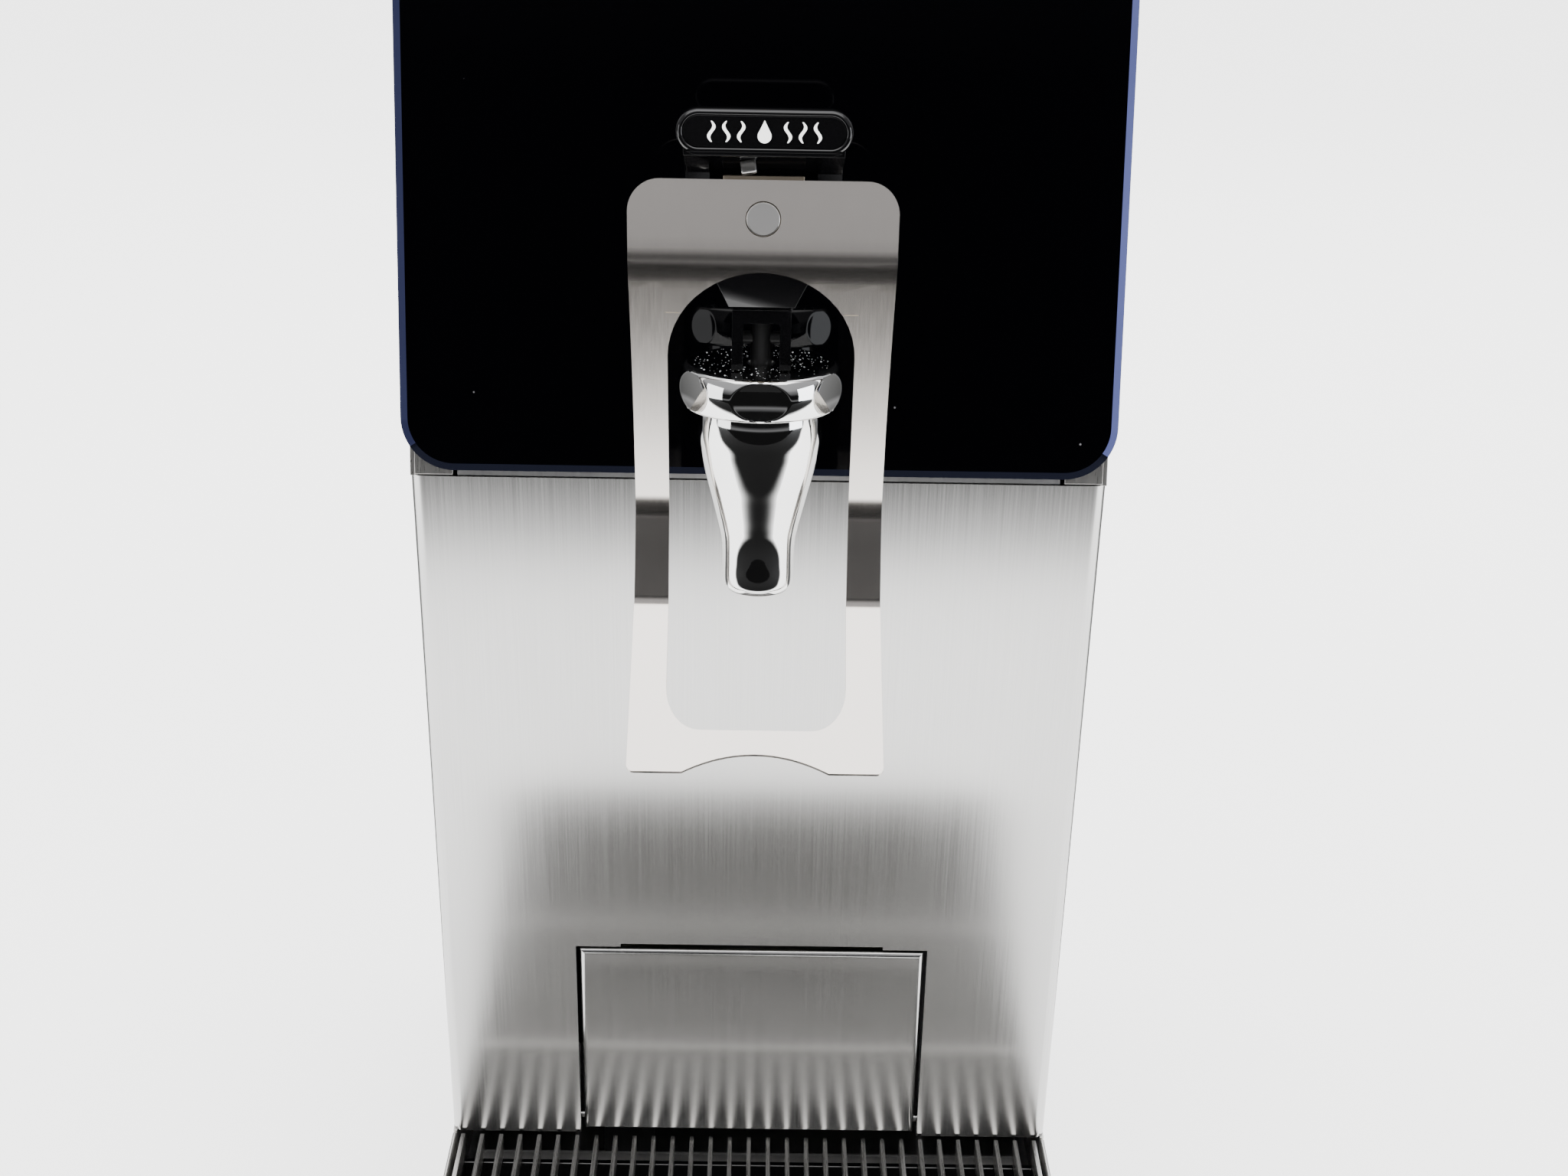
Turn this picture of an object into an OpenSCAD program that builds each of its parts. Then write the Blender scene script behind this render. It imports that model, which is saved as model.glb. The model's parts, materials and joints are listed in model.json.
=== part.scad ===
// Countertop hot-water dispenser, in millimetres.
// The front faces -Y and +Z is up. The origin is on the ground, under the middle of the machine's box.

/* [Body] */
// Width of the column and of the drip tray
body_w = 180; // [170:1:200]
// Overall height, from the ground to the top cover
body_h = 610; // [580:5:680]
// Overall depth, from the tray's front rim to the tip of the water inlet
body_d = 366; // [350:1:420]
// How far the water inlet and the power inlet stand behind the back panel
rear_reach = 14; // [12:1:20]
// Height of the tray's rim and grille above the ground
tray_z = 52; // [48:1:60]
// Depth of the drip tray, front to back
tray_d = 142; // [136:1:150]
// Thickness of the stainless sheet
sheet = 1.2; // [1:0.1:1.6]

/* [Front] */
// Lean of the backsplash: its top comes forward
splash_tilt = 12; // [8:1:14]
// Length of the backsplash along its slope
splash_len = 226; // [220:1:232]
// Lean of the glass panel: its top goes back
glass_tilt = 5; // [3:1:6]
// Thickness of the glass panel
glass_t = 5; // [4:0.5:6]
// Gap behind the glass, filled by the black backing frame
backing_t = 4; // [3:0.5:5]
// Corner radius of the glass panel
glass_r = 13.5; // [8:0.5:16]
// Width of the access cover
cover_w = 100; // [90:1:110]
// Height of the access cover along the slope
cover_h = 71; // [60:1:75]

/* [Faucet] */
// Distance from the foot of the backsplash forward to the faucet's axis
faucet_reach = 102.7; // [100:0.1:106]
// Outer diameter of the faucet's ring nut
bonnet_d = 38.1; // [36:0.1:40]
// Outer diameter of the spout's tip
tip_d = 17.1; // [16:0.1:18]
// Bore of the spout
spout_bore = 10; // [8:0.5:11]

/* [Lever plate] */
// Width of the lever plate
plate_w = 60; // [58:1:64]
// Thickness of the lever plate
plate_t = 1.5; // [1.2:0.1:2]
// Width of the arched opening in the lever plate
arch_w = 42.4; // [41:0.2:44]

/* [Hidden] */
$fn = 64;
eps = 0.01;

// Body frame
front_y = -body_d / 2;
splash_y = front_y + tray_d;
back_y = body_d / 2 - rear_reach;
floor_z = 18;
lid_z = body_h - sheet;
column_h = lid_z - floor_z;
inner_w = body_w - 2 * sheet;
corner_r = 3;

// Top edge of the backsplash, where the column's front turns to lean back
brow_y = splash_y - splash_len * sin(splash_tilt);
brow_z = tray_z + splash_len * cos(splash_tilt);
glass_gap = glass_t + backing_t;
glass_y = brow_y - glass_gap;
glass_z = brow_z + 4.5;
glass_w = body_w + 2;
glass_h = (lid_z - glass_z - 1) / cos(glass_tilt);
frame_gap = (glass_gap + (glass_z - brow_z) * tan(glass_tilt)) * cos(glass_tilt);
frame_h = (lid_z - brow_z) / cos(glass_tilt);
crown_y = brow_y + (lid_z - brow_z) * tan(glass_tilt);
stud_x = 76;
stud_inset = 19.5;

// Access cover, measured up the slope from the foot of the backsplash. Its pivot lies behind its front face.
cover_gap = 1;
cover_s = 1.2;
cover_fold = 7;
pivot_back = 3.5;
pivot_s = 4.2;
pivot_r = 1.2;
slot_w = 76;
slot_h = 1.1;
splash_side = 9;

// Drip tray and grille
tray_w = body_w;
tray_wall = 1.2;
tray_bottom = floor_z + 2.1;
tray_corner = 7;
tray_gap = 0.8;
slat_n = 31;
slat_pitch = 5.79;
slat_t = 1.2;
slat_h = 7;
rod_d = 4;
rod_z = tray_z - slat_h + 1;
grille_front = 4.5;
grille_d = tray_d - grille_front - 1.2;
rod_places = [36, 86, 136];

// Faucet, on its own vertical axis
faucet_y = splash_y - faucet_reach;
bonnet_z = tray_z + 255.9;
bonnet_top = tray_z + 265.9;
tip_z = tray_z + 211;
seat_z = tray_z + 237;
chamber_r = 10;
shank_z = tray_z + 243;
shank_d = 16;
stem_d = 5;
pin_z = bonnet_top + 6;
pin_d = 3;
fit = 0.05;
shank_end = brow_y + 22;
frame_back = brow_y + (shank_z - brow_z) * tan(glass_tilt) + sheet + 1.3;
glass_at_shank = glass_y + (shank_z - glass_z) * tan(glass_tilt);

// Handle: heights are above the tray, distances are forward of the faucet's axis
fork_w = 13.4;
fork_slot = 8.4;
neck_w = 35.6;
head_w = 38.4;
head_h = 10;
head_rim = 1.6;
head_y = faucet_y - 27;
head_z = tray_z + 322.9;
head_tilt = 6;

// Lever plate's folded profile, front face, from the top edge down: [forward of axis, above tray]
plate_line = [[15.2, 310.7], [19.6, 292.1], [-2.5, 230.1], [-0.1, 207.1], [27, 174.6]];
arch_top = tray_z + 290.8;
arch_foot = tray_z + 182.5;
notch_r = 38;
notch_up = 3.4;
stud_z = tray_z + 302.4;

// Tank
tank_r = 75;
tank_len = 40;
tank_y = splash_y + 93;
tank_z = 130;
tank_h = 410;
tank_t = 1.2;
jacket_t = 9;

// Feet
foot_x = 70;
foot_front_y = front_y + 24;
foot_rear_y = back_y - 22;
foot_r = 14;
foot_bolt_r = 4;
foot_bolt_top = floor_z + 1.8;
boss_drop = 6;

// Rear services
inlet_x = 52;
inlet_z = 70;
service_z = 62;
socket_x = -46;
switch_x = -12;

// ---- Shared shapes ----

// A flat rounded rectangle, centred
module round_rect(w, h, r) {
    square([w - 2 * r, h], center = true);
    square([w, h - 2 * r], center = true);
    for (x = [-1, 1], y = [-1, 1]) translate([x * (w / 2 - r), y * (h / 2 - r)]) circle(r);
}

// The outline of a round-ended bar, centred
module bar_outline(w, h) {
    square([w - h, h], center = true);
    for (x = [-1, 1]) translate([x * (w - h) / 2, 0]) circle(h / 2);
}

// A flat outline in X and Z, made solid from y0 back to y1
module upright(y0, y1) {
    translate([0, y1, 0]) rotate([90, 0, 0]) linear_extrude(y1 - y0) children();
}

// A side outline in Y and Z, made solid from x0 to x1
module sideways(x0, x1) {
    translate([x0, 0, 0]) rotate([90, 0, 90]) linear_extrude(x1 - x0) children();
}

// The backsplash's own frame: Z runs up its slope and Y goes into the machine
module on_splash() {
    translate([0, splash_y, tray_z]) rotate([splash_tilt, 0, 0]) children();
}

// The glass panel's own frame: Z runs up its face and Y goes into the machine
module on_glass() {
    translate([0, glass_y, glass_z]) rotate([-glass_tilt, 0, 0]) children();
}

// The front frame's own frame, from the brow up
module on_brow() {
    translate([0, brow_y, brow_z]) rotate([-glass_tilt, 0, 0]) children();
}

// A rod along Y from y0 to y1
module rod_y(y0, y1, r) {
    translate([0, y1, 0]) rotate([90, 0, 0]) cylinder(h = y1 - y0, r = r);
}

// A rod along X, centred
module rod_x(len, r) {
    rotate([0, 90, 0]) cylinder(h = len, r = r, center = true);
}

// The plan of the tank: two half rounds and the stretch between
module tank_plan(r) {
    square([2 * r, tank_len], center = true);
    for (y = [-1, 1]) translate([0, y * tank_len / 2]) circle(r);
}

// ---- Casing ----

// Outline of the column from the side
module column_side() {
    polygon([[splash_y, floor_z], [splash_y, tray_z], [brow_y, brow_z], [crown_y, lid_z],
        [back_y, lid_z], [back_y, floor_z]]);
}

module base_chassis() {
    wall_top = tray_z - 8;
    color("silver") difference() {
        union() {
            translate([-inner_w / 2 + 6, front_y + 6, floor_z])
                cube([inner_w - 12, tray_d - 6, 2]);
            translate([-inner_w / 2, splash_y, floor_z])
                cube([inner_w, back_y - sheet - splash_y, 2]);
            translate([-inner_w / 2 + 6, splash_y + 1, floor_z]) cube([inner_w - 12, sheet, wall_top - floor_z]);
            for (x = [-1, 1]) translate([x * (inner_w / 2 - sheet / 2) - sheet / 2, splash_y + 4, floor_z])
                cube([sheet, back_y - sheet - splash_y - 4, 16]);
            for (x = [-1, 1], y = [foot_front_y, foot_rear_y]) translate([x * foot_x, y, floor_z - boss_drop])
                cylinder(h = boss_drop + 1, r = 8);
        }
        for (x = [-1, 1], y = [foot_front_y, foot_rear_y]) translate([x * foot_x, y, 0])
            cylinder(h = floor_z + 3, r = foot_bolt_r + fit);
    }
}

// A side sheet with folded flanges at the back, the top and the column's front edge
module side_panel() {
    flange = 11;
    sideways(body_w / 2 - sheet, body_w / 2) difference() {
        column_side();
        translate([splash_y, tray_z]) rotate(splash_tilt) translate([-1, 0]) square([splash_side + 1, splash_len]);
    }
    sideways(body_w / 2 - flange, body_w / 2 - sheet + eps) translate([back_y - 2 * sheet, floor_z + 20])
        square([sheet, column_h - 34]);
    on_brow() translate([body_w / 2 - flange, 0, 0.4]) cube([flange - sheet + eps, sheet, frame_h - 12.4]);
}

module side_panel_right() {
    color("lightgray") side_panel();
}

module side_panel_left() {
    color("lightgray") mirror([1, 0, 0]) side_panel();
}

module back_panel() {
    slots = 9;
    color("silver") difference() {
        translate([-inner_w / 2, back_y - sheet, floor_z + 2 + eps])
            cube([inner_w, sheet, column_h - 2 - sheet]);
        for (row = [0, 1], i = [0:slots - 1])
            translate([-46, back_y - 5, 360 + row * 110 + i * 9]) cube([92, 10, 4]);
        translate([inlet_x, 0, inlet_z]) rod_y(back_y - 5, back_y + 5, 9);
        translate([socket_x - 14, back_y - 5, service_z - 10.2]) cube([28, 10, 20.4]);
        translate([switch_x - 7.5, back_y - 5, service_z - 10.7]) cube([15, 10, 21.4]);
    }
}

module top_cover() {
    skirt = 10;
    y0 = crown_y - backing_t;
    color("lightgray") union() {
        translate([0, (y0 + back_y) / 2, lid_z]) linear_extrude(sheet) round_rect(body_w, back_y - y0, corner_r);
        for (x = [-1, 1]) translate([x * (inner_w / 2 - 0.8) - 0.5, y0 + 22, lid_z - skirt])
            cube([1, back_y - y0 - 34, skirt + eps]);
    }
}

// Countersunk-style screws that hold the back panel and the top cover's rear edge
module cover_screws() {
    color("gray") for (x = [-1, 1], z = [floor_z + 16, 300, lid_z - 24])
        translate([x * (body_w / 2 - 6.5), 0, z]) {
            rod_y(back_y, back_y + 1.6, 3.4);
        }
}

module front_frame() {
    color("gray") on_brow() difference() {
        translate([-inner_w / 2 + 11, 0, 0.4]) cube([inner_w - 22, sheet, frame_h - 6]);
        translate([0, 0, (shank_z - brow_z) / cos(glass_tilt) + 0.2]) rod_y(-5, 5, 9);
    }
}

module panel_backing() {
    inset = 5;
    color("black") on_glass() difference() {
        translate([0, 0, glass_h / 2]) upright(glass_t, frame_gap)
            round_rect(glass_w - 2 * inset, glass_h - 2 * inset, glass_r - inset);
        translate([0, 0, (shank_z - glass_z) / cos(glass_tilt)]) rod_y(0, 20, 10.5);
        for (x = [-1, 1], z = [stud_inset, glass_h - stud_inset]) translate([x * stud_x, 0, z])
            rod_y(0, 20, 2.6);
    }
}

module glass_panel() {
    color([0.03, 0.03, 0.05]) on_glass() difference() {
        translate([0, 0, glass_h / 2]) upright(0, glass_t) round_rect(glass_w, glass_h, glass_r);
        translate([0, 0, (shank_z - glass_z) / cos(glass_tilt)]) rod_y(-1, 10, 10.5);
        translate([0, 0, glass_h - 60]) rod_y(-1, 10, 3);
    }
}

// Studs bonded behind the glass, with their nuts inside the front frame
module panel_studs() {
    color("dimgray") on_glass() for (x = [-1, 1], z = [stud_inset, glass_h - stud_inset])
        translate([x * stud_x, 0, z]) rod_y(glass_t + eps, frame_gap - 0.05, 2.5);
}

module ready_light() {
    color("orangered") on_glass() translate([0, 0, glass_h - 60]) {
        rod_y(-0.4, glass_t, 2.9);
    }
}

module backsplash() {
    half = splash_side + corner_r;
    color("lightgray") on_splash() difference() {
        linear_extrude(splash_len) difference() {
            translate([0, half]) round_rect(body_w, 2 * half, corner_r);
            translate([0, half + sheet]) round_rect(inner_w, 2 * half, corner_r - sheet);
            translate([-body_w, splash_side]) square([2 * body_w, 2 * half]);
        }
        translate([-cover_w / 2 - cover_gap, -1, -1]) cube([cover_w + 2 * cover_gap, 4, cover_h + 1 + cover_gap]);
        translate([-slot_w / 2, -1, cover_h]) cube([slot_w, 4, slot_h + cover_gap]);
    }
    // Lugs that hold the cover's pivot pins
    color("lightgray") on_splash() for (x = [-1, 1]) difference() {
        translate([x * (cover_w / 2 + cover_gap + 1.1) - 0.9, sheet - eps, 0.4]) cube([1.8, 5.4, 8]);
        translate([x * (cover_w / 2 + cover_gap + 1.1), pivot_back, pivot_s]) rod_x(4, pivot_r + fit);
    }
}

// The cover: a plate with folded-back edges, and a pivot pin at the foot of each side
module access_cover() {
    color("lightgray") on_splash() {
        translate([0, -0.3, cover_s]) difference() {
            translate([-cover_w / 2, 0, 0]) cube([cover_w, cover_fold, cover_h - cover_s]);
            translate([-cover_w / 2 + sheet, sheet, -1])
                cube([cover_w - 2 * sheet, cover_fold, cover_h - cover_s + 1 - sheet]);
        }
        for (x = [-1, 1]) translate([x * (cover_w / 2 + 0.6), pivot_back, pivot_s]) rod_x(4.6, pivot_r);
    }
}

// ---- Tray ----

// Plan of the tray, drawn in by inset all round: rounded front corners and a square back
module tray_plan(inset) {
    w = tray_w - 2 * inset;
    r = tray_corner - inset;
    y0 = front_y + inset;
    translate([-w / 2, y0 + r]) square([w, splash_y - tray_gap - inset - y0 - r]);
    translate([-w / 2 + r, y0]) square([w - 2 * r, r + 1]);
    for (x = [-1, 1]) translate([x * (w / 2 - r), y0 + r]) circle(r);
}

// The rear wall is lower than the others, so that the slats pass over it
module drip_tray() {
    color("silver") difference() {
        translate([0, 0, tray_bottom]) linear_extrude(tray_z - tray_bottom) tray_plan(0);
        translate([0, 0, tray_bottom + tray_wall]) linear_extrude(tray_z) tray_plan(tray_wall);
        translate([-tray_w / 2 + tray_wall, splash_y - 6, rod_z - rod_d / 2 - 3.1])
            cube([tray_w - 2 * tray_wall, 10, 20]);
    }
}

// Black moulded pan that lies inside the steel tray and catches the drips
module tray_liner() {
    inset = tray_wall + 0.3;
    wall = 2.5;
    low = tray_bottom + tray_wall + eps;
    high = rod_z - rod_d / 2 - 0.1;
    color("black") difference() {
        translate([0, 0, low]) linear_extrude(high - low) tray_plan(inset);
        translate([0, 0, low + wall]) linear_extrude(high) tray_plan(inset + wall);
    }
}

module drip_grille() {
    rail_w = (slat_n - 1) * slat_pitch + slat_t;
    y0 = front_y + grille_front;
    color("gray") {
        for (i = [0:slat_n - 1])
            translate([(i - (slat_n - 1) / 2) * slat_pitch - slat_t / 2, y0, tray_z - slat_h - 0.4])
                cube([slat_t, grille_d, slat_h]);
        for (d = rod_places) translate([0, splash_y - d, rod_z]) rod_x(rail_w, rod_d / 2);
    }
}

// ---- Feet ----

module foot(x, y) {
    translate([x, y, 0]) {
        color("black") rotate_extrude() polygon([[0, 0], [foot_r - 1.5, 0], [foot_r, 1.5], [foot_r - 2, 7],
            [foot_bolt_r, 9], [0, 9]]);
        color("gray") cylinder(h = foot_bolt_top, r = foot_bolt_r);
        color("gray") translate([0, 0, 8.5]) cylinder(h = 3, r = 7, $fn = 6);
    }
}

module foot_front_left() { foot(-foot_x, foot_front_y); }
module foot_front_right() { foot(foot_x, foot_front_y); }
module foot_rear_left() { foot(-foot_x, foot_rear_y); }
module foot_rear_right() { foot(foot_x, foot_rear_y); }

// ---- Faucet ----

// Outer profile of the chrome body: [radius, height above the tray]
tip_r = tip_d / 2;
body_profile = [[14.8, 255.9], [14.75, 249.5], [13.4, 242.6], [11.5, 235], [9.6, 227.6], [tip_r + 0.2, 223.6],
    [tip_r, 219], [tip_r, 213.4], [tip_r - 0.6, 211.8], [tip_r - 1.8, 211]];

module faucet_body() {
    bore_r = spout_bore / 2;
    color("gainsboro") difference() {
        union() {
            translate([0, faucet_y, 0]) rotate_extrude()
                polygon([for (p = body_profile) [p[0], p[1] + tray_z], [0, tip_z], [0, bonnet_z]]);
            translate([0, 0, shank_z]) rod_y(faucet_y, shank_end, shank_d / 2);
            translate([0, 0, shank_z]) rod_y(glass_at_shank - 8, glass_at_shank - 1.2, 12);
        }
        translate([0, faucet_y, tip_z - 1]) cylinder(h = 40, r = bore_r);
        translate([0, faucet_y, seat_z]) cylinder(h = 20, r = chamber_r);
        translate([0, 0, shank_z]) rod_y(faucet_y, shank_end + 1, bore_r);
    }
}

// Ring nut with six scalloped facets round its rim
module faucet_bonnet() {
    r = bonnet_d / 2;
    h = bonnet_top - bonnet_z;
    facets = 6;
    color("gainsboro") translate([0, faucet_y, bonnet_z]) difference() {
        rotate_extrude() polygon([[stem_d / 2 + fit, h - 3], [stem_d / 2 + fit, h], [r - 1.6, h], [r - 0.5, h - 0.7],
            [r, h - 2.2], [r, 3.2], [r - 1.4, 1.2], [r - 4, eps], [chamber_r - 1, eps], [chamber_r - 1, h - 3]]);
        for (i = [0:facets - 1]) rotate(i * 360 / facets) translate([-20, r - 1.1, -1]) cube([40, 10, h + 2]);
    }
}

module faucet_stem() {
    color("silver") difference() {
        translate([0, faucet_y, seat_z + 4]) cylinder(h = pin_z + 4.4 - seat_z - 4, r = stem_d / 2);
        translate([0, faucet_y, pin_z]) rod_x(20, pin_d / 2 + fit);
    }
}

module seat_cup() {
    color("ivory") translate([0, faucet_y, seat_z + 0.1]) rotate_extrude()
        polygon([[0, 0], [8.2, 0], [8.6, 1], [8.6, 3.9], [0, 3.9]]);
}

// Spring round the stem, between the seat cup and the bonnet: turns with short risers between them
module faucet_spring() {
    turns = 5;
    wire = 1;
    low = seat_z + 4 + wire;
    rise = (bonnet_top - 3 - wire - 0.3 - low) / (turns - 1);
    color("silver") translate([0, faucet_y, low]) {
        for (i = [0:turns - 1]) translate([0, 0, i * rise]) rotate_extrude() translate([5, 0]) circle(wire, $fn = 24);
        for (i = [0:turns - 2]) rotate(i * 180) translate([5, 0, i * rise]) cylinder(h = rise, r = 0.8);
    }
}

module faucet_washer() {
    color("dimgray") translate([0, 0, shank_z]) difference() {
        rod_y(frame_back, frame_back + 1.5, 13);
        rod_y(shank_end - 20, shank_end, shank_d / 2 + fit);
    }
}

module faucet_nut() {
    color("gray") translate([0, 0, shank_z]) difference() {
        translate([0, frame_back + 7.5, 0]) rotate([90, 30, 0]) cylinder(h = 6, r = 13, $fn = 6);
        rod_y(shank_end - 20, shank_end, shank_d / 2 + fit);
    }
}

module pivot_pin() {
    color("silver") translate([0, faucet_y, pin_z]) rod_x(fork_w, pin_d / 2);
}

// ---- Handle, label and lever plate ----

// Side outline of the handle's neck and foot: [behind the axis, above the tray]
neck_side = [[-9, 266.3], [8, 266.3], [8, 268.5], [4.5, 275], [1, 285], [-5, 298], [-9.5, 312], [-13, 318],
    [-17.5, 322], [-24, 322], [-22.5, 317], [-13.3, 311.9], [-17.4, 293.4], [-13.2, 281.8], [-9.2, 280.2], [-9, 268.5]];

// Side outline of the channel cut into the neck's front: [behind the axis, above the tray]
channel_side = [[-30, 290], [-10, 290], [-10.6, 311], [-15.5, 316.6], [-30, 316.6]];

// Front outline of the neck, right half: [half width, above the tray]
neck_front = [[fork_w / 2, 266], [fork_w / 2, 280.2], [9.8, 287], [neck_w / 2 - 0.6, 298], [neck_w / 2 - 0.8, 306],
    [neck_w / 2, 324]];

module handle_neck() {
    intersection() {
        sideways(-30, 30) polygon([for (p = neck_side) [p[0] + faucet_y, p[1] + tray_z]]);
        upright(faucet_y - 40, faucet_y + 40) polygon(concat(
            [for (p = neck_front) [p[0], p[1] + tray_z]],
            [for (i = [len(neck_front) - 1:-1:0]) [-neck_front[i][0], neck_front[i][1] + tray_z]]));
    }
}

// The head's own frame, at the middle of its front face
module on_head() {
    translate([0, head_y, head_z]) rotate([-head_tilt, 0, 0]) children();
}

module handle() {
    recess = 0.8;
    color([0.05, 0.05, 0.05]) difference() {
        union() {
            handle_neck();
            on_head() upright(0, 10) bar_outline(head_w, head_h);
        }
        on_head() upright(-1, recess) bar_outline(head_w - 2 * head_rim, head_h - 2 * head_rim);
        // Slot of the fork
        translate([-fork_slot / 2, faucet_y - 30, bonnet_top - 1]) cube([fork_slot, 60, pin_z + 5.2 - bonnet_top + 1]);
        // Channel in the front of the neck that takes the bracket and its nut
        sideways(-12, 12) polygon([for (p = channel_side) [p[0] + faucet_y, p[1] + tray_z]]);
        translate([0, faucet_y, pin_z]) rod_x(40, pin_d / 2);
    }
}

module handle_label() {
    color([0.1, 0.1, 0.1]) on_head() upright(0.3, 0.8) bar_outline(head_w - 2 * head_rim, head_h - 2 * head_rim);
}

// Mitred normal at point i of the lever plate's folded line, for a sheet of unit thickness
function turn90(v) = [v[1], -v[0]];
function unit(v) = v / norm(v);
function side_in(i) = turn90(unit(plate_line[i + 1] - plate_line[i]));
function mitre(i) = i == 0 ? side_in(0) : i == len(plate_line) - 1 ? side_in(i - 1)
    : (side_in(i - 1) + side_in(i)) / (1 + side_in(i - 1) * side_in(i));

// The plate's side outline, from its front face back by its thickness
module plate_side() {
    n = len(plate_line);
    front = [for (p = plate_line) [faucet_y - p[0], tray_z + p[1]]];
    back = [for (i = [n - 1:-1:0]) [faucet_y - plate_line[i][0] - plate_t * mitre(i)[0],
        tray_z + plate_line[i][1] + plate_t * mitre(i)[1]]];
    polygon(concat(front, back));
}

// Front outline of the plate, with its arch, rounded foot and the shallow notch below
module plate_front() {
    top = tray_z + plate_line[0][1] + 1;
    bottom = tray_z + plate_line[len(plate_line) - 1][1] - 1;
    top_r = 7;
    foot_cut = 8;
    arch_r = arch_w / 2;
    difference() {
        union() {
            translate([-plate_w / 2, bottom]) square([plate_w, top - bottom - top_r]);
            translate([-plate_w / 2 + top_r, bottom]) square([plate_w - 2 * top_r, top - bottom]);
            for (x = [-1, 1]) translate([x * (plate_w / 2 - top_r), top - top_r]) circle(top_r);
        }
        translate([0, arch_top - arch_r]) circle(arch_r);
        translate([-arch_r, arch_foot + foot_cut]) square([arch_w, arch_top - arch_r - arch_foot - foot_cut]);
        translate([0, arch_foot + foot_cut]) bar_outline(arch_w, 2 * foot_cut);
        translate([0, bottom + 1 + notch_up - notch_r]) circle(notch_r);
    }
}

module lever_plate() {
    color("lightgray") difference() {
        intersection() {
            sideways(-plate_w / 2, plate_w / 2) plate_side();
            upright(faucet_y - 40, faucet_y + 20) plate_front();
        }
        on_stud() rod_y(-2, 3, 3.9);
    }
}

// The stud's own frame: on the plate's front face, with Y into the plate
module on_stud() {
    lean = atan((plate_line[1][0] - plate_line[0][0]) / (plate_line[0][1] - plate_line[1][1]));
    drop = plate_line[0][1] + tray_z - stud_z;
    translate([0, faucet_y - plate_line[0][0] - drop * tan(lean), stud_z]) rotate([-lean, 0, 0]) children();
}

module lever_stud() {
    color("silver") on_stud() {
        rod_y(0.05, plate_t, 3.8);
        rod_y(plate_t - eps, plate_t + 4.6, 2);
    }
}

module lever_bracket() {
    color("tan") on_stud() difference() {
        translate([-9, plate_t + 0.1, -8.6]) cube([18, 1.5, 18.2]);
        rod_y(0, 6, 2 + fit);
    }
}

module lever_nut() {
    color("silver") on_stud() difference() {
        translate([0, plate_t + 4.4, 0]) rotate([90, 0, 0]) cylinder(h = 2.7, r = 3.6, $fn = 6);
        rod_y(0, 8, 2 + fit);
    }
}

// ---- Tank and water ----

module tank() {
    color("silver") translate([0, tank_y, tank_z]) difference() {
        union() {
            linear_extrude(tank_h) tank_plan(tank_r);
            translate([0, 0, tank_h - 2]) linear_extrude(2) tank_plan(tank_r + 6);
            translate([0, 0, -12]) cylinder(h = 12.5, r = 8);
        }
        translate([0, 0, tank_t]) linear_extrude(tank_h) tank_plan(tank_r - tank_t);
        translate([0, 0, -13]) cylinder(h = 20, r = 6);
        translate([0, 0, shank_z - tank_z]) rod_y(-tank_r - tank_len, 0, 7);
    }
    color("silver") translate([0, tank_y - tank_len / 2 - tank_r, shank_z]) difference() {
        rod_y(-12, 3, 8);
        rod_y(-13, 9, 7);
    }
}

module tank_gasket() {
    color("black") translate([0, tank_y, tank_z + tank_h]) linear_extrude(2) difference() {
        tank_plan(tank_r + 6);
        tank_plan(tank_r - 2);
    }
}

lid_bottom = tank_z + tank_h + 2;
heater_x = 26;
probe_x = -40;
level_x = -18;

module tank_lid() {
    color("silver") translate([0, tank_y, lid_bottom]) difference() {
        linear_extrude(3) tank_plan(tank_r + 6);
        translate([heater_x, 0, -1]) cylinder(h = 5, r = 22);
        translate([probe_x, 20, -1]) cylinder(h = 5, r = 3.05);
        translate([level_x, -40, -1]) cylinder(h = 5, r = 5.05);
        translate([level_x, 50, -1]) cylinder(h = 5, r = 5.05);
    }
}

module tank_insulation() {
    cut_z = shank_z - tank_z - 12;
    color("khaki") translate([0, tank_y, tank_z + 12]) difference() {
        linear_extrude(tank_h - 26) tank_plan(tank_r + jacket_t);
        translate([0, 0, -1]) linear_extrude(tank_h) tank_plan(tank_r + 0.4);
        translate([0, 0, cut_z]) rod_y(-130, -40, 10.6);
    }
}

// Cradle that carries the tank on the chassis
module tank_bracket() {
    leg = 56;
    color("gray") difference() {
        union() {
            translate([-leg - 8, tank_y - 40, tank_z - 2]) cube([2 * leg + 16, 80, 2]);
            for (x = [-1, 1]) translate([x * leg - 1, tank_y - 40, floor_z + 2]) cube([2, 80, tank_z - floor_z - 3]);
        }
        translate([0, tank_y, tank_z - 5]) cylinder(h = 10, r = 9);
    }
}

// Immersion heater: a flange on the lid, two terminals and two long hairpin loops
module heating_element() {
    loop_r = 4;
    drop = 360;
    color("dimgray") translate([heater_x, tank_y, lid_bottom]) {
        translate([0, 0, 3]) cylinder(h = 3, r = 25);
        translate([0, 0, -0.5]) cylinder(h = 4, r = 21.9);
        for (y = [-1, 1]) translate([0, y * 12, 0]) {
            for (x = [-1, 1]) translate([x * 9, 0, -drop]) cylinder(h = drop + 0.5, r = loop_r);
            translate([0, 0, -drop]) rotate([90, 180, 0]) rotate_extrude(angle = 180) translate([9, 0]) circle(loop_r);
            translate([0, 0, 5]) cylinder(h = 12, r = 3);
        }
    }
}

module temperature_probe() {
    color("silver") translate([probe_x, tank_y + 20, lid_bottom - 150]) {
        cylinder(h = 160, r = 3);
        translate([0, 0, 153]) cylinder(h = 8, r = 6, $fn = 6);
    }
}

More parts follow.
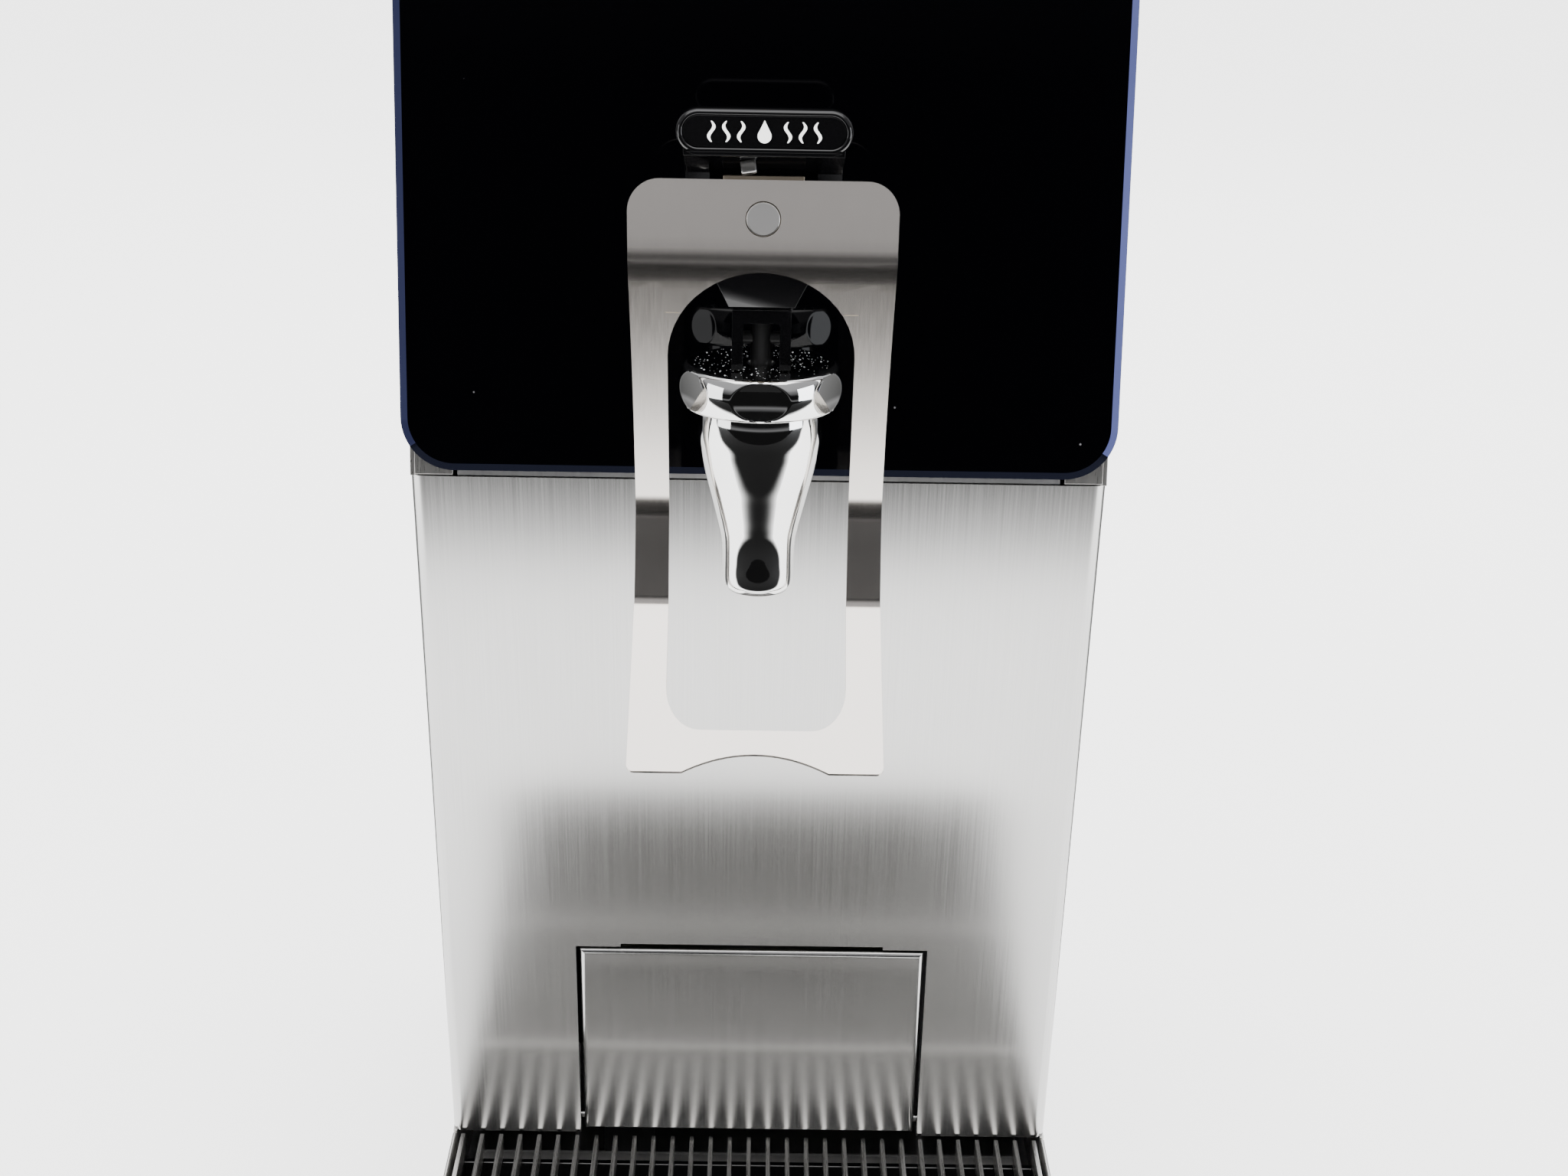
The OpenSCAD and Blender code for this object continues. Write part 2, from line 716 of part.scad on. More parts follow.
module level_probe() {
    color("silver") translate([level_x, tank_y - 40, lid_bottom - 40]) cylinder(h = 55, r = 1.5);
    color("white") translate([level_x, tank_y - 40, lid_bottom - 8]) cylinder(h = 18, r = 5);
}

module limit_thermostat() {
    color("black") translate([level_x, tank_y, lid_bottom + 3]) {
        cylinder(h = 8, r = 9);
        translate([-3, -8, 7.5]) cube([1, 4, 7]);
        translate([3, 4, 7.5]) cube([1, 4, 7]);
    }
}

// Inlet from the back panel: a threaded fitting, a solenoid valve and the tube up to the lid
module inlet_fitting() {
    color("goldenrod") translate([inlet_x, 0, inlet_z]) difference() {
        union() {
            rod_y(valve_y + 27, back_y + rear_reach, 6.58);
            rod_y(back_y + eps, back_y + 4, 10);
            translate([0, back_y - sheet, 0]) rotate([90, 0, 0]) cylinder(h = 4, r = 11, $fn = 6);
        }
        rod_y(back_y - 20, back_y + 40, 4);
    }
}

valve_y = back_y - 44;

module fill_valve() {
    color("dimgray") translate([inlet_x, 0, inlet_z]) difference() {
        union() {
            translate([-10, valve_y, -10]) cube([20, 27, 20]);
            translate([0, valve_y + 13, 0]) cylinder(h = 38, r = 9);
            translate([-14, valve_y, 9]) cube([28, 26, 26]);
            rod_y(valve_y - 6, valve_y + 1, 6);
        }
        rod_y(valve_y - 10, valve_y + 40, 3);
    }
}

// Silicone tube: from the valve across to the side wall, up beside the tank and over to the lid
module fill_tube() {
    r = 4;
    rise_y = valve_y - 10;
    top = lid_bottom + 16;
    x1 = inner_w / 2 - 6;
    color("white") difference() {
        union() {
            translate([inlet_x, rise_y, inlet_z]) rotate([-90, 0, 0]) cylinder(h = 4, r = r);
            translate([inlet_x, rise_y, inlet_z]) sphere(r);
            translate([inlet_x, rise_y, inlet_z]) rotate([0, 90, 0]) cylinder(h = x1 - inlet_x, r = r);
            translate([x1, rise_y, inlet_z]) sphere(r);
            translate([x1, rise_y, inlet_z]) rotate([-90, 0, 0]) cylinder(h = back_y - 14 - rise_y, r = r);
            translate([x1, back_y - 14, inlet_z]) sphere(r);
            translate([x1, back_y - 14, inlet_z]) cylinder(h = top - inlet_z, r = r);
            translate([x1, back_y - 14, top]) sphere(r);
            translate([level_x, back_y - 14, top]) rotate([0, 90, 0]) cylinder(h = x1 - level_x, r = r);
            translate([level_x, back_y - 14, top]) sphere(r);
            translate([level_x, tank_y + 50, top]) rotate([-90, 0, 0]) cylinder(h = back_y - 14 - tank_y - 50, r = r);
            translate([level_x, tank_y + 50, top]) sphere(r);
            translate([level_x, tank_y + 50, lid_bottom - 20]) cylinder(h = top - lid_bottom + 20, r = r);
        }
    }
}

module outlet_tube() {
    r = shank_d / 2;
    y0 = shank_end - 6;
    y1 = tank_y - tank_len / 2 - tank_r - 0.5;
    color("white") translate([0, 0, shank_z]) difference() {
        rod_y(y0, y1, r + 2);
        rod_y(y0 - 1, y1 + 1, r + fit);
    }
}

drain_z = 96;
drain_y = splash_y + 14;

// Drain from the tank's sump forward to the cock behind the access cover
module drain_tube() {
    r = 8.5;
    color("white") difference() {
        union() {
            translate([0, tank_y, drain_z]) cylinder(h = tank_z - 3 - drain_z, r = r);
            translate([0, tank_y, drain_z]) sphere(r);
            translate([0, 0, drain_z]) rod_y(drain_y + 22, tank_y, r);
        }
        translate([0, tank_y, tank_z - 12.2]) cylinder(h = 30, r = 8 + fit);
        translate([0, tank_y, drain_z]) cylinder(h = 60, r = 5);
        translate([0, 0, drain_z]) rod_y(drain_y, tank_y, 5);
    }
}

module drain_valve() {
    color("goldenrod") translate([0, 0, drain_z]) difference() {
        union() {
            rod_y(drain_y, drain_y + 16, 9);
            rod_y(drain_y + 15, drain_y + 22 - eps, 7);
            translate([0, drain_y + 8, -24]) cylinder(h = 24, r = 5);
            rod_y(drain_y - 3, drain_y + 2, 2.45);
        }
        translate([0, drain_y + 8, -30]) cylinder(h = 28, r = 3.2);
        rod_y(drain_y + 6, drain_y + 30, 3.2);
    }
}

module drain_lever() {
    color("red") translate([0, 0, drain_z]) difference() {
        union() {
            rod_y(drain_y - 3, drain_y - 0.4, 6);
            translate([0, drain_y - 3, -4]) cube([24, 2.6, 8]);
        }
        rod_y(drain_y - 10, drain_y + 5, 2.5);
    }
}

dial_x = -38;
dial_z = 88;

module thermostat() {
    color("dimgray") translate([dial_x, 0, dial_z]) {
        translate([-16, drain_y + 5, -16]) cube([32, 22, 32]);
        rod_y(drain_y - 0.8, drain_y + 6, 2.95);
        translate([-8, drain_y + 18, -66]) cube([16, 2, 51]);
    }
}

module thermostat_knob() {
    color("black") translate([dial_x, 0, dial_z]) difference() {
        union() {
            rod_y(drain_y - 3, drain_y + 4, 9);
            translate([-1.5, drain_y - 6, -8]) cube([3, 4, 16]);
        }
        rod_y(drain_y - 1, drain_y + 5, 3);
    }
}

// ---- Electrical ----

// Board on four standoffs behind the front frame, above the faucet's shank
module control_board() {
    y = sheet + 4;
    face = y + 1.6 - eps;
    on_brow() translate([0, 0, 60]) {
        color("darkgreen") translate([-45, y, 0]) cube([90, 1.6, 100]);
        color("black") translate([-40, face, 14]) cube([16, 10, 20]);
        color("black") translate([22, face, 18]) cube([18, 8, 24]);
        color("gray") translate([-18, face, 60]) cube([36, 4, 10]);
        color("white") for (x = [-1, 1], z = [6, 94]) translate([x * 38, 0, z]) rod_y(sheet, y + eps, 3);
    }
}

module terminal_block() {
    color("ivory") translate([-52, back_y - 60, floor_z + 2]) difference() {
        cube([40, 22, 18]);
        for (i = [0:3]) translate([6 + i * 9.5, 6, 8]) cylinder(h = 20, r = 3);
    }
}

// Appliance inlet for a detachable mains lead
module power_inlet() {
    color("black") translate([socket_x, 0, service_z]) difference() {
        union() {
            translate([-15.5, back_y, -12]) cube([31, 3, 24]);
            translate([-13.8, back_y - 18, -10]) cube([27.6, 18.1, 20]);
        }
        translate([-12, back_y - 14, -8]) cube([24, 30, 16]);
    }
    color("silver") for (x = [-7, 0, 7])
        translate([socket_x + x - 1, back_y - 15, service_z - 2 + (x == 0 ? 3 : 0)]) cube([2, 12, 4]);
}

rocker_y = back_y - 3;

// Frame of the power switch: a pocket with a pivot hole through its sides
module switch_housing() {
    color("black") translate([switch_x, 0, service_z]) difference() {
        union() {
            translate([-8.5, back_y, -12.5]) cube([17, 2, 25]);
            translate([-7.4, back_y - 16, -10.6]) cube([14.8, 16.1, 21.2]);
        }
        translate([-6, back_y - 12, -9.7]) cube([12, 30, 19.4]);
        translate([0, rocker_y, 0]) rod_x(15.2, 1.5 + fit);
    }
}

// The rocker, pressed in at its top
module power_rocker() {
    color("darkred") translate([switch_x, rocker_y, service_z]) {
        rotate([10, 0, 0]) sideways(-5.7, 5.7)
            polygon([[-3, -3], [5.2, -8.6], [3.6, 0], [5.2, 8.6], [-3, 3]]);
        rod_x(14.6, 1.5);
    }
}

// ---- Nodes ----

base_chassis();
side_panel_left();
side_panel_right();
back_panel();
top_cover();
front_frame();
panel_backing();
glass_panel();
panel_studs();
ready_light();
backsplash();
access_cover();
drip_tray();
tray_liner();
drip_grille();
foot_front_left();
foot_front_right();
foot_rear_left();
foot_rear_right();
faucet_body();
faucet_bonnet();
faucet_washer();
faucet_nut();
faucet_stem();
seat_cup();
faucet_spring();
pivot_pin();
handle();
handle_label();
lever_bracket();
lever_plate();
lever_stud();
lever_nut();
tank();
tank_gasket();
tank_lid();
tank_insulation();
tank_bracket();
heating_element();
temperature_probe();
level_probe();
limit_thermostat();
fill_valve();
fill_tube();
inlet_fitting();
outlet_tube();
drain_tube();
drain_valve();
drain_lever();
thermostat();
thermostat_knob();
control_board();
terminal_block();
power_inlet();
switch_housing();
power_rocker();
cover_screws();
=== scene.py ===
import json
import math
import random

import bmesh
import bpy
from mathutils import Matrix, Vector

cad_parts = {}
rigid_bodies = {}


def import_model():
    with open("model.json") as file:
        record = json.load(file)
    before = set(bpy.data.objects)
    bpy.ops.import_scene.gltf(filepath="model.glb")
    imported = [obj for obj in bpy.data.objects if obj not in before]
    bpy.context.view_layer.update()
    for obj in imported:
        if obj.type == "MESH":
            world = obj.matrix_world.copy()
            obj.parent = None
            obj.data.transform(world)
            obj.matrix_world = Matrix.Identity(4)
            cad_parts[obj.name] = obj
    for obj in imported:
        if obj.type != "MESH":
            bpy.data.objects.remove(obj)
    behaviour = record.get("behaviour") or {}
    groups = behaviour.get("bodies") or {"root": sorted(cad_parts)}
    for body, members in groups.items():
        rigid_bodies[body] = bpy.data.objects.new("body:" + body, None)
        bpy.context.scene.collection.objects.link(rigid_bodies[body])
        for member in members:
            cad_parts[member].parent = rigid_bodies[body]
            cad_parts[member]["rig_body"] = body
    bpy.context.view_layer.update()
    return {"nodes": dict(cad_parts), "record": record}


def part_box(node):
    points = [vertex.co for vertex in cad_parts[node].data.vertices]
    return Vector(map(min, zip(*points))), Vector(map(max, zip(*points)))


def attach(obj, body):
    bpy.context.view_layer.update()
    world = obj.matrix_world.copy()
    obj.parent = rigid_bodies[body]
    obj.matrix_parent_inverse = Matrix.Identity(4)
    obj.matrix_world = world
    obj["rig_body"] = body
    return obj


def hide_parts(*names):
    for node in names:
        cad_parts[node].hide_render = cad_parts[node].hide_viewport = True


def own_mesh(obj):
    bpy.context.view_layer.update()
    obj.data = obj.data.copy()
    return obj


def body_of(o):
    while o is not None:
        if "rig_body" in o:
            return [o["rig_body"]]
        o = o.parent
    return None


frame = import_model()
nodes = frame["nodes"]
MM = 0.001

# ---- Places taken from the frame ----
pin_low, pin_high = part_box("pivot_pin")
axis_y = (pin_low.y + pin_high.y) / 2
bonnet_low, bonnet_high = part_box("faucet_bonnet")
label_low, label_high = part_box("handle_label")
tray_low, tray_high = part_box("drip_tray")
tray_top = tray_high.z
shank_low, shank_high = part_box("outlet_tube")
shank_z = (shank_low.z + shank_high.z) / 2

# ---- Named sizes that several pieces share ----
GLASS_LEAN = math.radians(5)
COVER_LEAN = math.radians(12)
HEAD_TILT = math.radians(6)
BORE = 5 * MM
WELD = 0.000002  # Vertices nearer than this are one
CUT = 0.000001
SHARP_EDGE = 35  # Degrees: steeper edges of a CAD shape get rounded
# Polished metal mirrors a dark floor from this line on, where a counter would end
COUNTER_EDGE = tray_low.y - 0.168
CARD_DEPTH = 0.5
FADE = 0.08
STAGE = 9
FLOOR_BACK = 0.1


# ---- Camera, light and floor ----
def make_camera():
    """The camera stands in front of the faucet and looks down at it, turned by small angles."""
    data = bpy.data.cameras.new("camera")
    data.sensor_width = 36
    data.lens = 57.0
    data.clip_start = 0.02
    cam = bpy.data.objects.new("camera", data)
    bpy.context.collection.objects.link(cam)
    pitch, yaw, roll = (math.radians(a) for a in (18.801, 0.686, -1.090))
    forward = Vector((math.sin(yaw) * math.cos(pitch), math.cos(yaw) * math.cos(pitch), -math.sin(pitch)))
    level = Vector((math.cos(yaw), -math.sin(yaw), 0))
    down = forward.cross(level)
    right = level * math.cos(roll) + down * math.sin(roll)
    lower = down * math.cos(roll) - level * math.sin(roll)
    pose = Matrix((right, -lower, -forward)).transposed().to_4x4()
    pose.translation = Vector((-0.0004, axis_y - 0.5603, 0.4537))
    cam.matrix_world = pose
    bpy.context.scene.camera = cam


def area_light(name, place, target, size, energy, color=(1, 1, 1), sheen=False):
    data = bpy.data.lights.new(name, "AREA")
    data.shape = "RECTANGLE"
    data.size, data.size_y = size
    data.energy = energy
    data.color = color
    lamp = bpy.data.objects.new(name, data)
    bpy.context.collection.objects.link(lamp)
    lamp.visible_camera = False
    lamp.visible_diffuse = not sheen
    lamp.location = place
    lamp.rotation_euler = (Vector(target) - Vector(place)).to_track_quat("-Z", "Y").to_euler()


def make_world():
    """Soft light from above, plain to the eye and darker low down where polished metal mirrors it."""
    world = bpy.data.worlds.new("studio")
    world.use_nodes = True
    bpy.context.scene.world = world
    tree = world.node_tree
    coord = tree.nodes.new("ShaderNodeTexCoord")
    split = tree.nodes.new("ShaderNodeSeparateXYZ")
    ramp = tree.nodes.new("ShaderNodeValToRGB")
    # How bright the mirrored room is at each height, from -1 straight down to 1 straight up
    stops = ((-0.7, 0.003), (-0.20, 0.003), (-0.165, 0.075), (-0.13, 0.03), (-0.10, 0.003), (0.05, 0.003),
        (0.14, 0.05), (0.22, 0.085), (0.30, 0.16), (0.67, 0.18), (0.80, 0.6), (1.0, 1.0))
    elements = ramp.color_ramp.elements
    while len(elements) < len(stops):
        elements.new(0.5)
    for element, (place, level) in zip(elements, stops):
        element.position = 0.5 + 0.5 * place
        element.color = (level, level, level * 1.03, 1)
    mirrored = tree.nodes["Background"]
    mirrored.inputs["Strength"].default_value = 3.0
    seen = tree.nodes.new("ShaderNodeBackground")
    seen.inputs["Color"].default_value = (0.93, 0.93, 0.93, 1)
    seen.inputs["Strength"].default_value = 3.4
    # Behind the object the mirrored room is a soft grey
    behind = tree.nodes.new("ShaderNodeMapRange")
    behind.inputs["From Min"].default_value = 0.2
    behind.inputs["From Max"].default_value = 0.6
    behind.inputs["To Max"].default_value = 0.33
    rear = tree.nodes.new("ShaderNodeBackground")
    both = tree.nodes.new("ShaderNodeAddShader")
    tree.links.new(split.outputs["Y"], behind.inputs["Value"])
    tree.links.new(behind.outputs[0], rear.inputs["Strength"])
    tree.links.new(mirrored.outputs[0], both.inputs[0])
    tree.links.new(rear.outputs[0], both.inputs[1])
    path = tree.nodes.new("ShaderNodeLightPath")
    mix = tree.nodes.new("ShaderNodeMixShader")
    tree.links.new(coord.outputs["Generated"], split.inputs[0])
    half = tree.nodes.new("ShaderNodeMath")
    half.operation = "MULTIPLY_ADD"
    half.inputs[1].default_value = 0.5
    half.inputs[2].default_value = 0.5
    tree.links.new(split.outputs["Z"], half.inputs[0])
    tree.links.new(half.outputs[0], ramp.inputs[0])
    tree.links.new(ramp.outputs[0], mirrored.inputs["Color"])
    tree.links.new(path.outputs["Is Glossy Ray"], mix.inputs[0])
    tree.links.new(seen.outputs[0], mix.inputs[1])
    tree.links.new(both.outputs[0], mix.inputs[2])
    tree.links.new(mix.outputs[0], tree.nodes["World Output"].inputs["Surface"])


def plane(name, left, right, front, back, material):
    """A flat part of the stage, at the height of the floor."""
    bm = bmesh.new()
    corners = ((left, front), (right, front), (right, back), (left, back))
    bm.faces.new([bm.verts.new((x, y, 0)) for x, y in corners])
    mesh = bpy.data.meshes.new(name)
    bm.to_mesh(mesh)
    bm.free()
    made = bpy.data.objects.new(name, mesh)
    bpy.context.collection.objects.link(made)
    mesh.materials.append(material)
    return made


def make_mirror_card():
    """A card on the floor before the counter's edge that only polished surfaces show: it fades to dark."""
    s = Shader("mirror_card", (0, 0, 0), rough=1.0)
    coord = s.node("ShaderNodeTexCoord")
    split = s.node("ShaderNodeSeparateXYZ")
    s.link(coord.outputs["Object"], split.inputs[0])
    near = s.spread(split.outputs["Y"], 0.1, 1.0, COUNTER_EDGE - FADE, COUNTER_EDGE)
    cube = s.node("ShaderNodeMath", operation="POWER")
    cube.inputs[1].default_value = 3
    s.link(near, cube.inputs[0])
    glow = s.spread(cube.outputs[0], 0.0, 3.0, 0, 1)
    s.set("Emission Color", (1, 1, 1, 1))
    s.link(glow, s.bsdf.inputs["Emission Strength"])
    card = plane("mirror_card", -3, 3, COUNTER_EDGE - CARD_DEPTH, COUNTER_EDGE, s.mat)
    card.visible_camera = False
    card.visible_diffuse = False
    card.visible_shadow = False


# ---- Materials ----
class Shader:
    """A material with one Principled shader, and short calls for the textures that feed it."""

    def __init__(self, name, color, metallic=0.0, rough=0.5, **sockets):
        self.mat = bpy.data.materials.new(name)
        self.mat.use_nodes = True
        self.tree = self.mat.node_tree
        self.bsdf = self.tree.nodes["Principled BSDF"]
        self.color = color
        self.set("Base Color", (*color, 1))
        self.set("Metallic", metallic)
        self.set("Roughness", rough)
        for key, value in sockets.items():
            self.set(key.replace("_", " "), value)

    def set(self, socket, value):
        self.bsdf.inputs[socket].default_value = value

    def node(self, kind, **values):
        made = self.tree.nodes.new(kind)
        for key, value in values.items():
            if hasattr(made, key):
                setattr(made, key, value)
            else:
                made.inputs[key].default_value = value
        return made

    def link(self, a, b):
        self.tree.links.new(a, b)

    def noise(self, scale, stretch=(1, 1, 1), detail=3.0, rough=0.5):
        """Noise in the object's own metres, with scale features to the metre, stretched along an axis."""
        coord = self.node("ShaderNodeTexCoord")
        mapping = self.node("ShaderNodeMapping")
        mapping.inputs["Scale"].default_value = stretch
        tex = self.node("ShaderNodeTexNoise", Scale=scale, Detail=detail, Roughness=rough)
        self.link(coord.outputs["Object"], mapping.inputs["Vector"])
        self.link(mapping.outputs[0], tex.inputs["Vector"])
        return tex.outputs["Fac"]

    def spread(self, value, low, high, start=0.3, end=0.7):
        """value from start to end, spread between low and high."""
        span = self.node("ShaderNodeMapRange")
        span.inputs["From Min"].default_value = start
        span.inputs["From Max"].default_value = end
        span.inputs["To Min"].default_value = low
        span.inputs["To Max"].default_value = high
        self.link(value, span.inputs["Value"])
        return span.outputs[0]

    def tint(self, value, low, high):
        """The colour between two multiples of the base colour."""
        ramp = self.node("ShaderNodeValToRGB")
        for element, share, place in zip(ramp.color_ramp.elements, (low, high), (0.3, 0.7)):
            element.position = place
            element.color = (*(min(1, c * share) for c in self.color), 1)
        self.link(value, ramp.inputs[0])
        self.link(ramp.outputs[0], self.bsdf.inputs["Base Color"])

    def roughen(self, value, low, high):
        self.link(self.spread(value, low, high), self.bsdf.inputs["Roughness"])

    def bump(self, value, depth):
        """Raises the surface by up to depth metres."""
        made = self.node("ShaderNodeBump", Strength=1.0, Distance=depth)
        self.link(value, made.inputs["Height"])
        self.link(made.outputs[0], self.bsdf.inputs["Normal"])


def brushed(name, color, rough, grain=(1, 1, 0.006), aniso=0.0, spread=0.1, depth=0.000004,
        tint=(0.92, 1.05)):
    """Sheet metal with a grain of fine lines. The lines run along the axis that grain stretches."""
    s = Shader(name, color, metallic=1.0, rough=rough, Anisotropic=aniso)
    lines = s.noise(2600, grain, detail=3.0, rough=0.6)
    blotch = s.noise(18, detail=2.0)
    s.roughen(lines, rough - spread * 0.5, rough + spread)
    s.bump(lines, depth)
    mix = s.node("ShaderNodeMath", operation="MULTIPLY_ADD")
    mix.inputs[1].default_value = 0.35
    s.link(blotch, mix.inputs[0])
    scaled = s.node("ShaderNodeMath", operation="MULTIPLY")
    scaled.inputs[1].default_value = 0.65
    s.link(lines, scaled.inputs[0])
    s.link(scaled.outputs[0], mix.inputs[2])
    s.tint(mix.outputs[0], *tint)
    if aniso:
        tangent = s.node("ShaderNodeTangent", direction_type="UV_MAP")
        s.link(tangent.outputs[0], s.bsdf.inputs["Tangent"])
    return s.mat


def metal(name, color, rough, spread=0.06):
    """Plain or polished metal with faint wear."""
    s = Shader(name, color, metallic=1.0, rough=rough)
    wear = s.noise(160, detail=5.0, rough=0.6)
    s.roughen(wear, max(0.015, rough - spread * 0.4), rough + spread)
    s.tint(s.noise(40), 0.95, 1.03)
    return s.mat


def moulded(name, color, rough, grain=900, depth=0.00001, **sockets):
    """Moulded plastic or rubber with a fine grain."""
    s = Shader(name, color, rough=rough, **sockets)
    fine = s.noise(grain, detail=2.0)
    s.roughen(s.noise(60, detail=4.0), rough * 0.85, min(1, rough * 1.2))
    s.bump(fine, depth)
    s.tint(s.noise(25), 0.9, 1.1)
    return s.mat


def dusty_glass():
    """Black glass, polished, with a few specks of dust."""
    black = (0.0003, 0.0003, 0.0005)
    s = Shader("black_glass", black, rough=0.02, IOR=1.5, Specular_IOR_Level=0.18)
    coord = s.node("ShaderNodeTexCoord")
    cells = s.node("ShaderNodeTexVoronoi", Scale=170)
    s.link(coord.outputs["Object"], cells.inputs["Vector"])
    near = s.spread(cells.outputs["Distance"], 1.0, 0.0, 0.035, 0.055)
    chance = s.spread(s.noise(75, detail=1.0), 0.0, 1.0, 0.60, 0.66)
    both = s.node("ShaderNodeMath", operation="MULTIPLY")
    s.link(near, both.inputs[0])
    s.link(chance, both.inputs[1])
    ramp = s.node("ShaderNodeValToRGB")
    ramp.color_ramp.elements[0].color = (*black, 1)
    ramp.color_ramp.elements[1].color = (0.08, 0.08, 0.085, 1)
    s.link(both.outputs[0], ramp.inputs[0])
    s.link(ramp.outputs[0], s.bsdf.inputs["Base Color"])
    s.link(s.spread(both.outputs[0], 0.02, 0.5, 0, 1), s.bsdf.inputs["Roughness"])
    return s.mat


def board_green():
    """Circuit board with a faint pattern of tracks."""
    s = Shader("board", (0.03, 0.17, 0.07), rough=0.35)
    lines = s.node("ShaderNodeTexBrick", Scale=120)
    coord = s.node("ShaderNodeTexCoord")
    s.link(coord.outputs["Object"], lines.inputs["Vector"])
    s.tint(lines.outputs["Fac"], 0.8, 1.4)
    return s.mat


def felt():
    """Insulating felt round the tank."""
    s = Shader("foam", (0.50, 0.46, 0.36), rough=0.95)
    fibres = s.noise(700, detail=5.0, rough=0.7)
    s.tint(fibres, 0.75, 1.15)
    s.bump(fibres, 0.0004)
    return s.mat


def pale_floor():
    """The plain floor, which glows a little so that it stays as pale as the background."""
    s = Shader("floor", (0.86, 0.86, 0.855), rough=0.6)
    s.tint(s.noise(3, detail=3.0), 0.99, 1.01)
    s.set("Emission Color", (1, 1, 1, 1))
    s.set("Emission Strength", 1.2)
    return s.mat


MATERIALS = {
    "brushed_sheet": brushed("brushed_sheet", (0.60, 0.59, 0.57), 0.30, depth=0.000003),
    "inner_steel": brushed("inner_steel", (0.50, 0.50, 0.50), 0.42),
    "grille_steel": brushed("grille_steel", (0.58, 0.57, 0.55), 0.26, grain=(1, 0.02, 1)),
    "black_glass": dusty_glass(),
    "faucet_chrome": metal("faucet_chrome", (0.80, 0.80, 0.79), 0.035, 0.03),
    "stud_steel": metal("stud_steel", (0.74, 0.73, 0.71), 0.24),
    "bracket_steel": brushed("bracket_steel", (0.42, 0.36, 0.28), 0.36),
    "handle_plastic": moulded("handle_plastic", (0.0012, 0.0012, 0.0014), 0.06, depth=0.000001, IOR=1.5),
    "label": moulded("label", (0.001, 0.001, 0.0012), 0.12, depth=0.000002),
    "light_lens": moulded("light_lens", (0.75, 0.22, 0.04), 0.12, Transmission_Weight=0.3),
    "foot_rubber": moulded("foot_rubber", (0.02, 0.02, 0.02), 0.6, depth=0.00003),
    "rubber": moulded("rubber", (0.03, 0.03, 0.03), 0.55),
    "silicone": moulded("silicone", (0.78, 0.77, 0.74), 0.4, Transmission_Weight=0.15),
    "foam": felt(),
    "heater_sheath": metal("heater_sheath", (0.16, 0.14, 0.13), 0.5),
    "brass": metal("brass", (0.70, 0.50, 0.22), 0.28),
    "black_matte": moulded("black_matte", (0.006, 0.006, 0.0065), 0.42, depth=0.00002),
    "white_plastic": moulded("white_plastic", (0.75, 0.74, 0.70), 0.4),
    "red_plastic": moulded("red_plastic", (0.42, 0.02, 0.015), 0.28),
    "board": board_green(),
}
SPLASH = brushed("brushed_splash", (0.50, 0.497, 0.49), 0.19, grain=(1, 0.006, 0.006), aniso=0.7,
    spread=0.03, depth=3e-7)
LEVER = brushed("brushed_lever", (0.66, 0.62, 0.58), 0.23, grain=(1, 0.05, 0.05), aniso=0.8, spread=0.02,
    depth=8e-8, tint=(0.97, 1.02))
# The ground edge of the glass is blue, with painted light and shade in its colour: the right side is painted
# brightest for the light it catches there, the left side dimmer, and the foot a painted dark shade
EDGE_BLUE = (0.34, 0.39, 1.0)
EDGES = [moulded("glass_edge_painted_light_and_shade_" + side, tuple(level * c for c in EDGE_BLUE), 0.10, depth=0.000001, IOR=1.5,
    Specular_IOR_Level=0.06, Specular_Tint=(0.42, 0.5, 1.0, 1))
    # Levels of the edge colour: painted shade for the foot, painted light for the right side and, less, the
    # left side
    for side, level in (("foot", 0.0014), ("right", 0.11), ("left", 0.022))]
EDGE_FOOT_PAINTED_SHADE, EDGE_RIGHT_PAINTED_LIGHT, EDGE_LEFT_PAINTED_LIGHT = 1, 2, 3  # Material slots of the glass, after its black face
LINER = moulded("liner", (0.002, 0.002, 0.0025), 0.2, depth=0.000004, IOR=1.6)
FLOOR = pale_floor()
TAB = metal("tab_steel", (0.85, 0.84, 0.82), 0.3)
WHITE = moulded("print_white", (0.86, 0.86, 0.84), 0.35)
WATER = Shader("water", (0.8, 0.83, 0.86), rough=0.03, IOR=1.4, Transmission_Weight=0.7).mat


# ---- Mesh helpers ----
def finish_piece(name, bm, material, body, stands_for=(), sharp=30, extra=()):
    """Makes the object from bm, shades it, gives it its material and lets it ride on its body."""
    bmesh.ops.recalc_face_normals(bm, faces=bm.faces)
    mesh = bpy.data.meshes.new(name)
    for face in bm.faces:
        face.smooth = True
    bm.to_mesh(mesh)
    bm.free()
    mesh.set_sharp_from_angle(angle=math.radians(sharp))
    piece = bpy.data.objects.new(name, mesh)
    bpy.context.collection.objects.link(piece)
    for m in (material, *extra):
        mesh.materials.append(m)
    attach(piece, body)
    if stands_for:
        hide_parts(*stands_for)
    return piece


def box_uv(bm):
    """UVs in metres, with U along X on faces to the front and back, so that the sheen has a direction."""
    layer = bm.loops.layers.uv.new("grain")
    for face in bm.faces:
        n = face.normal
        across = 1 if abs(n.x) > max(abs(n.y), abs(n.z)) else 0
        up = 1 if abs(n.z) > max(abs(n.x), abs(n.y)) else 2
        for loop in face.loops:
            loop[layer].uv = (loop.vert.co[across], loop.vert.co[up])


def add_bevel(piece, width, segments, angle):
    """Rounds the edges that are steeper than angle, width millimetres wide."""
    bevel = piece.modifiers.new("round", "BEVEL")
    bevel.width = width * MM
    bevel.segments = segments
    bevel.limit_method = "ANGLE"
    bevel.angle_limit = math.radians(angle)
    bevel.use_clamp_overlap = True
    bevel.harden_normals = True


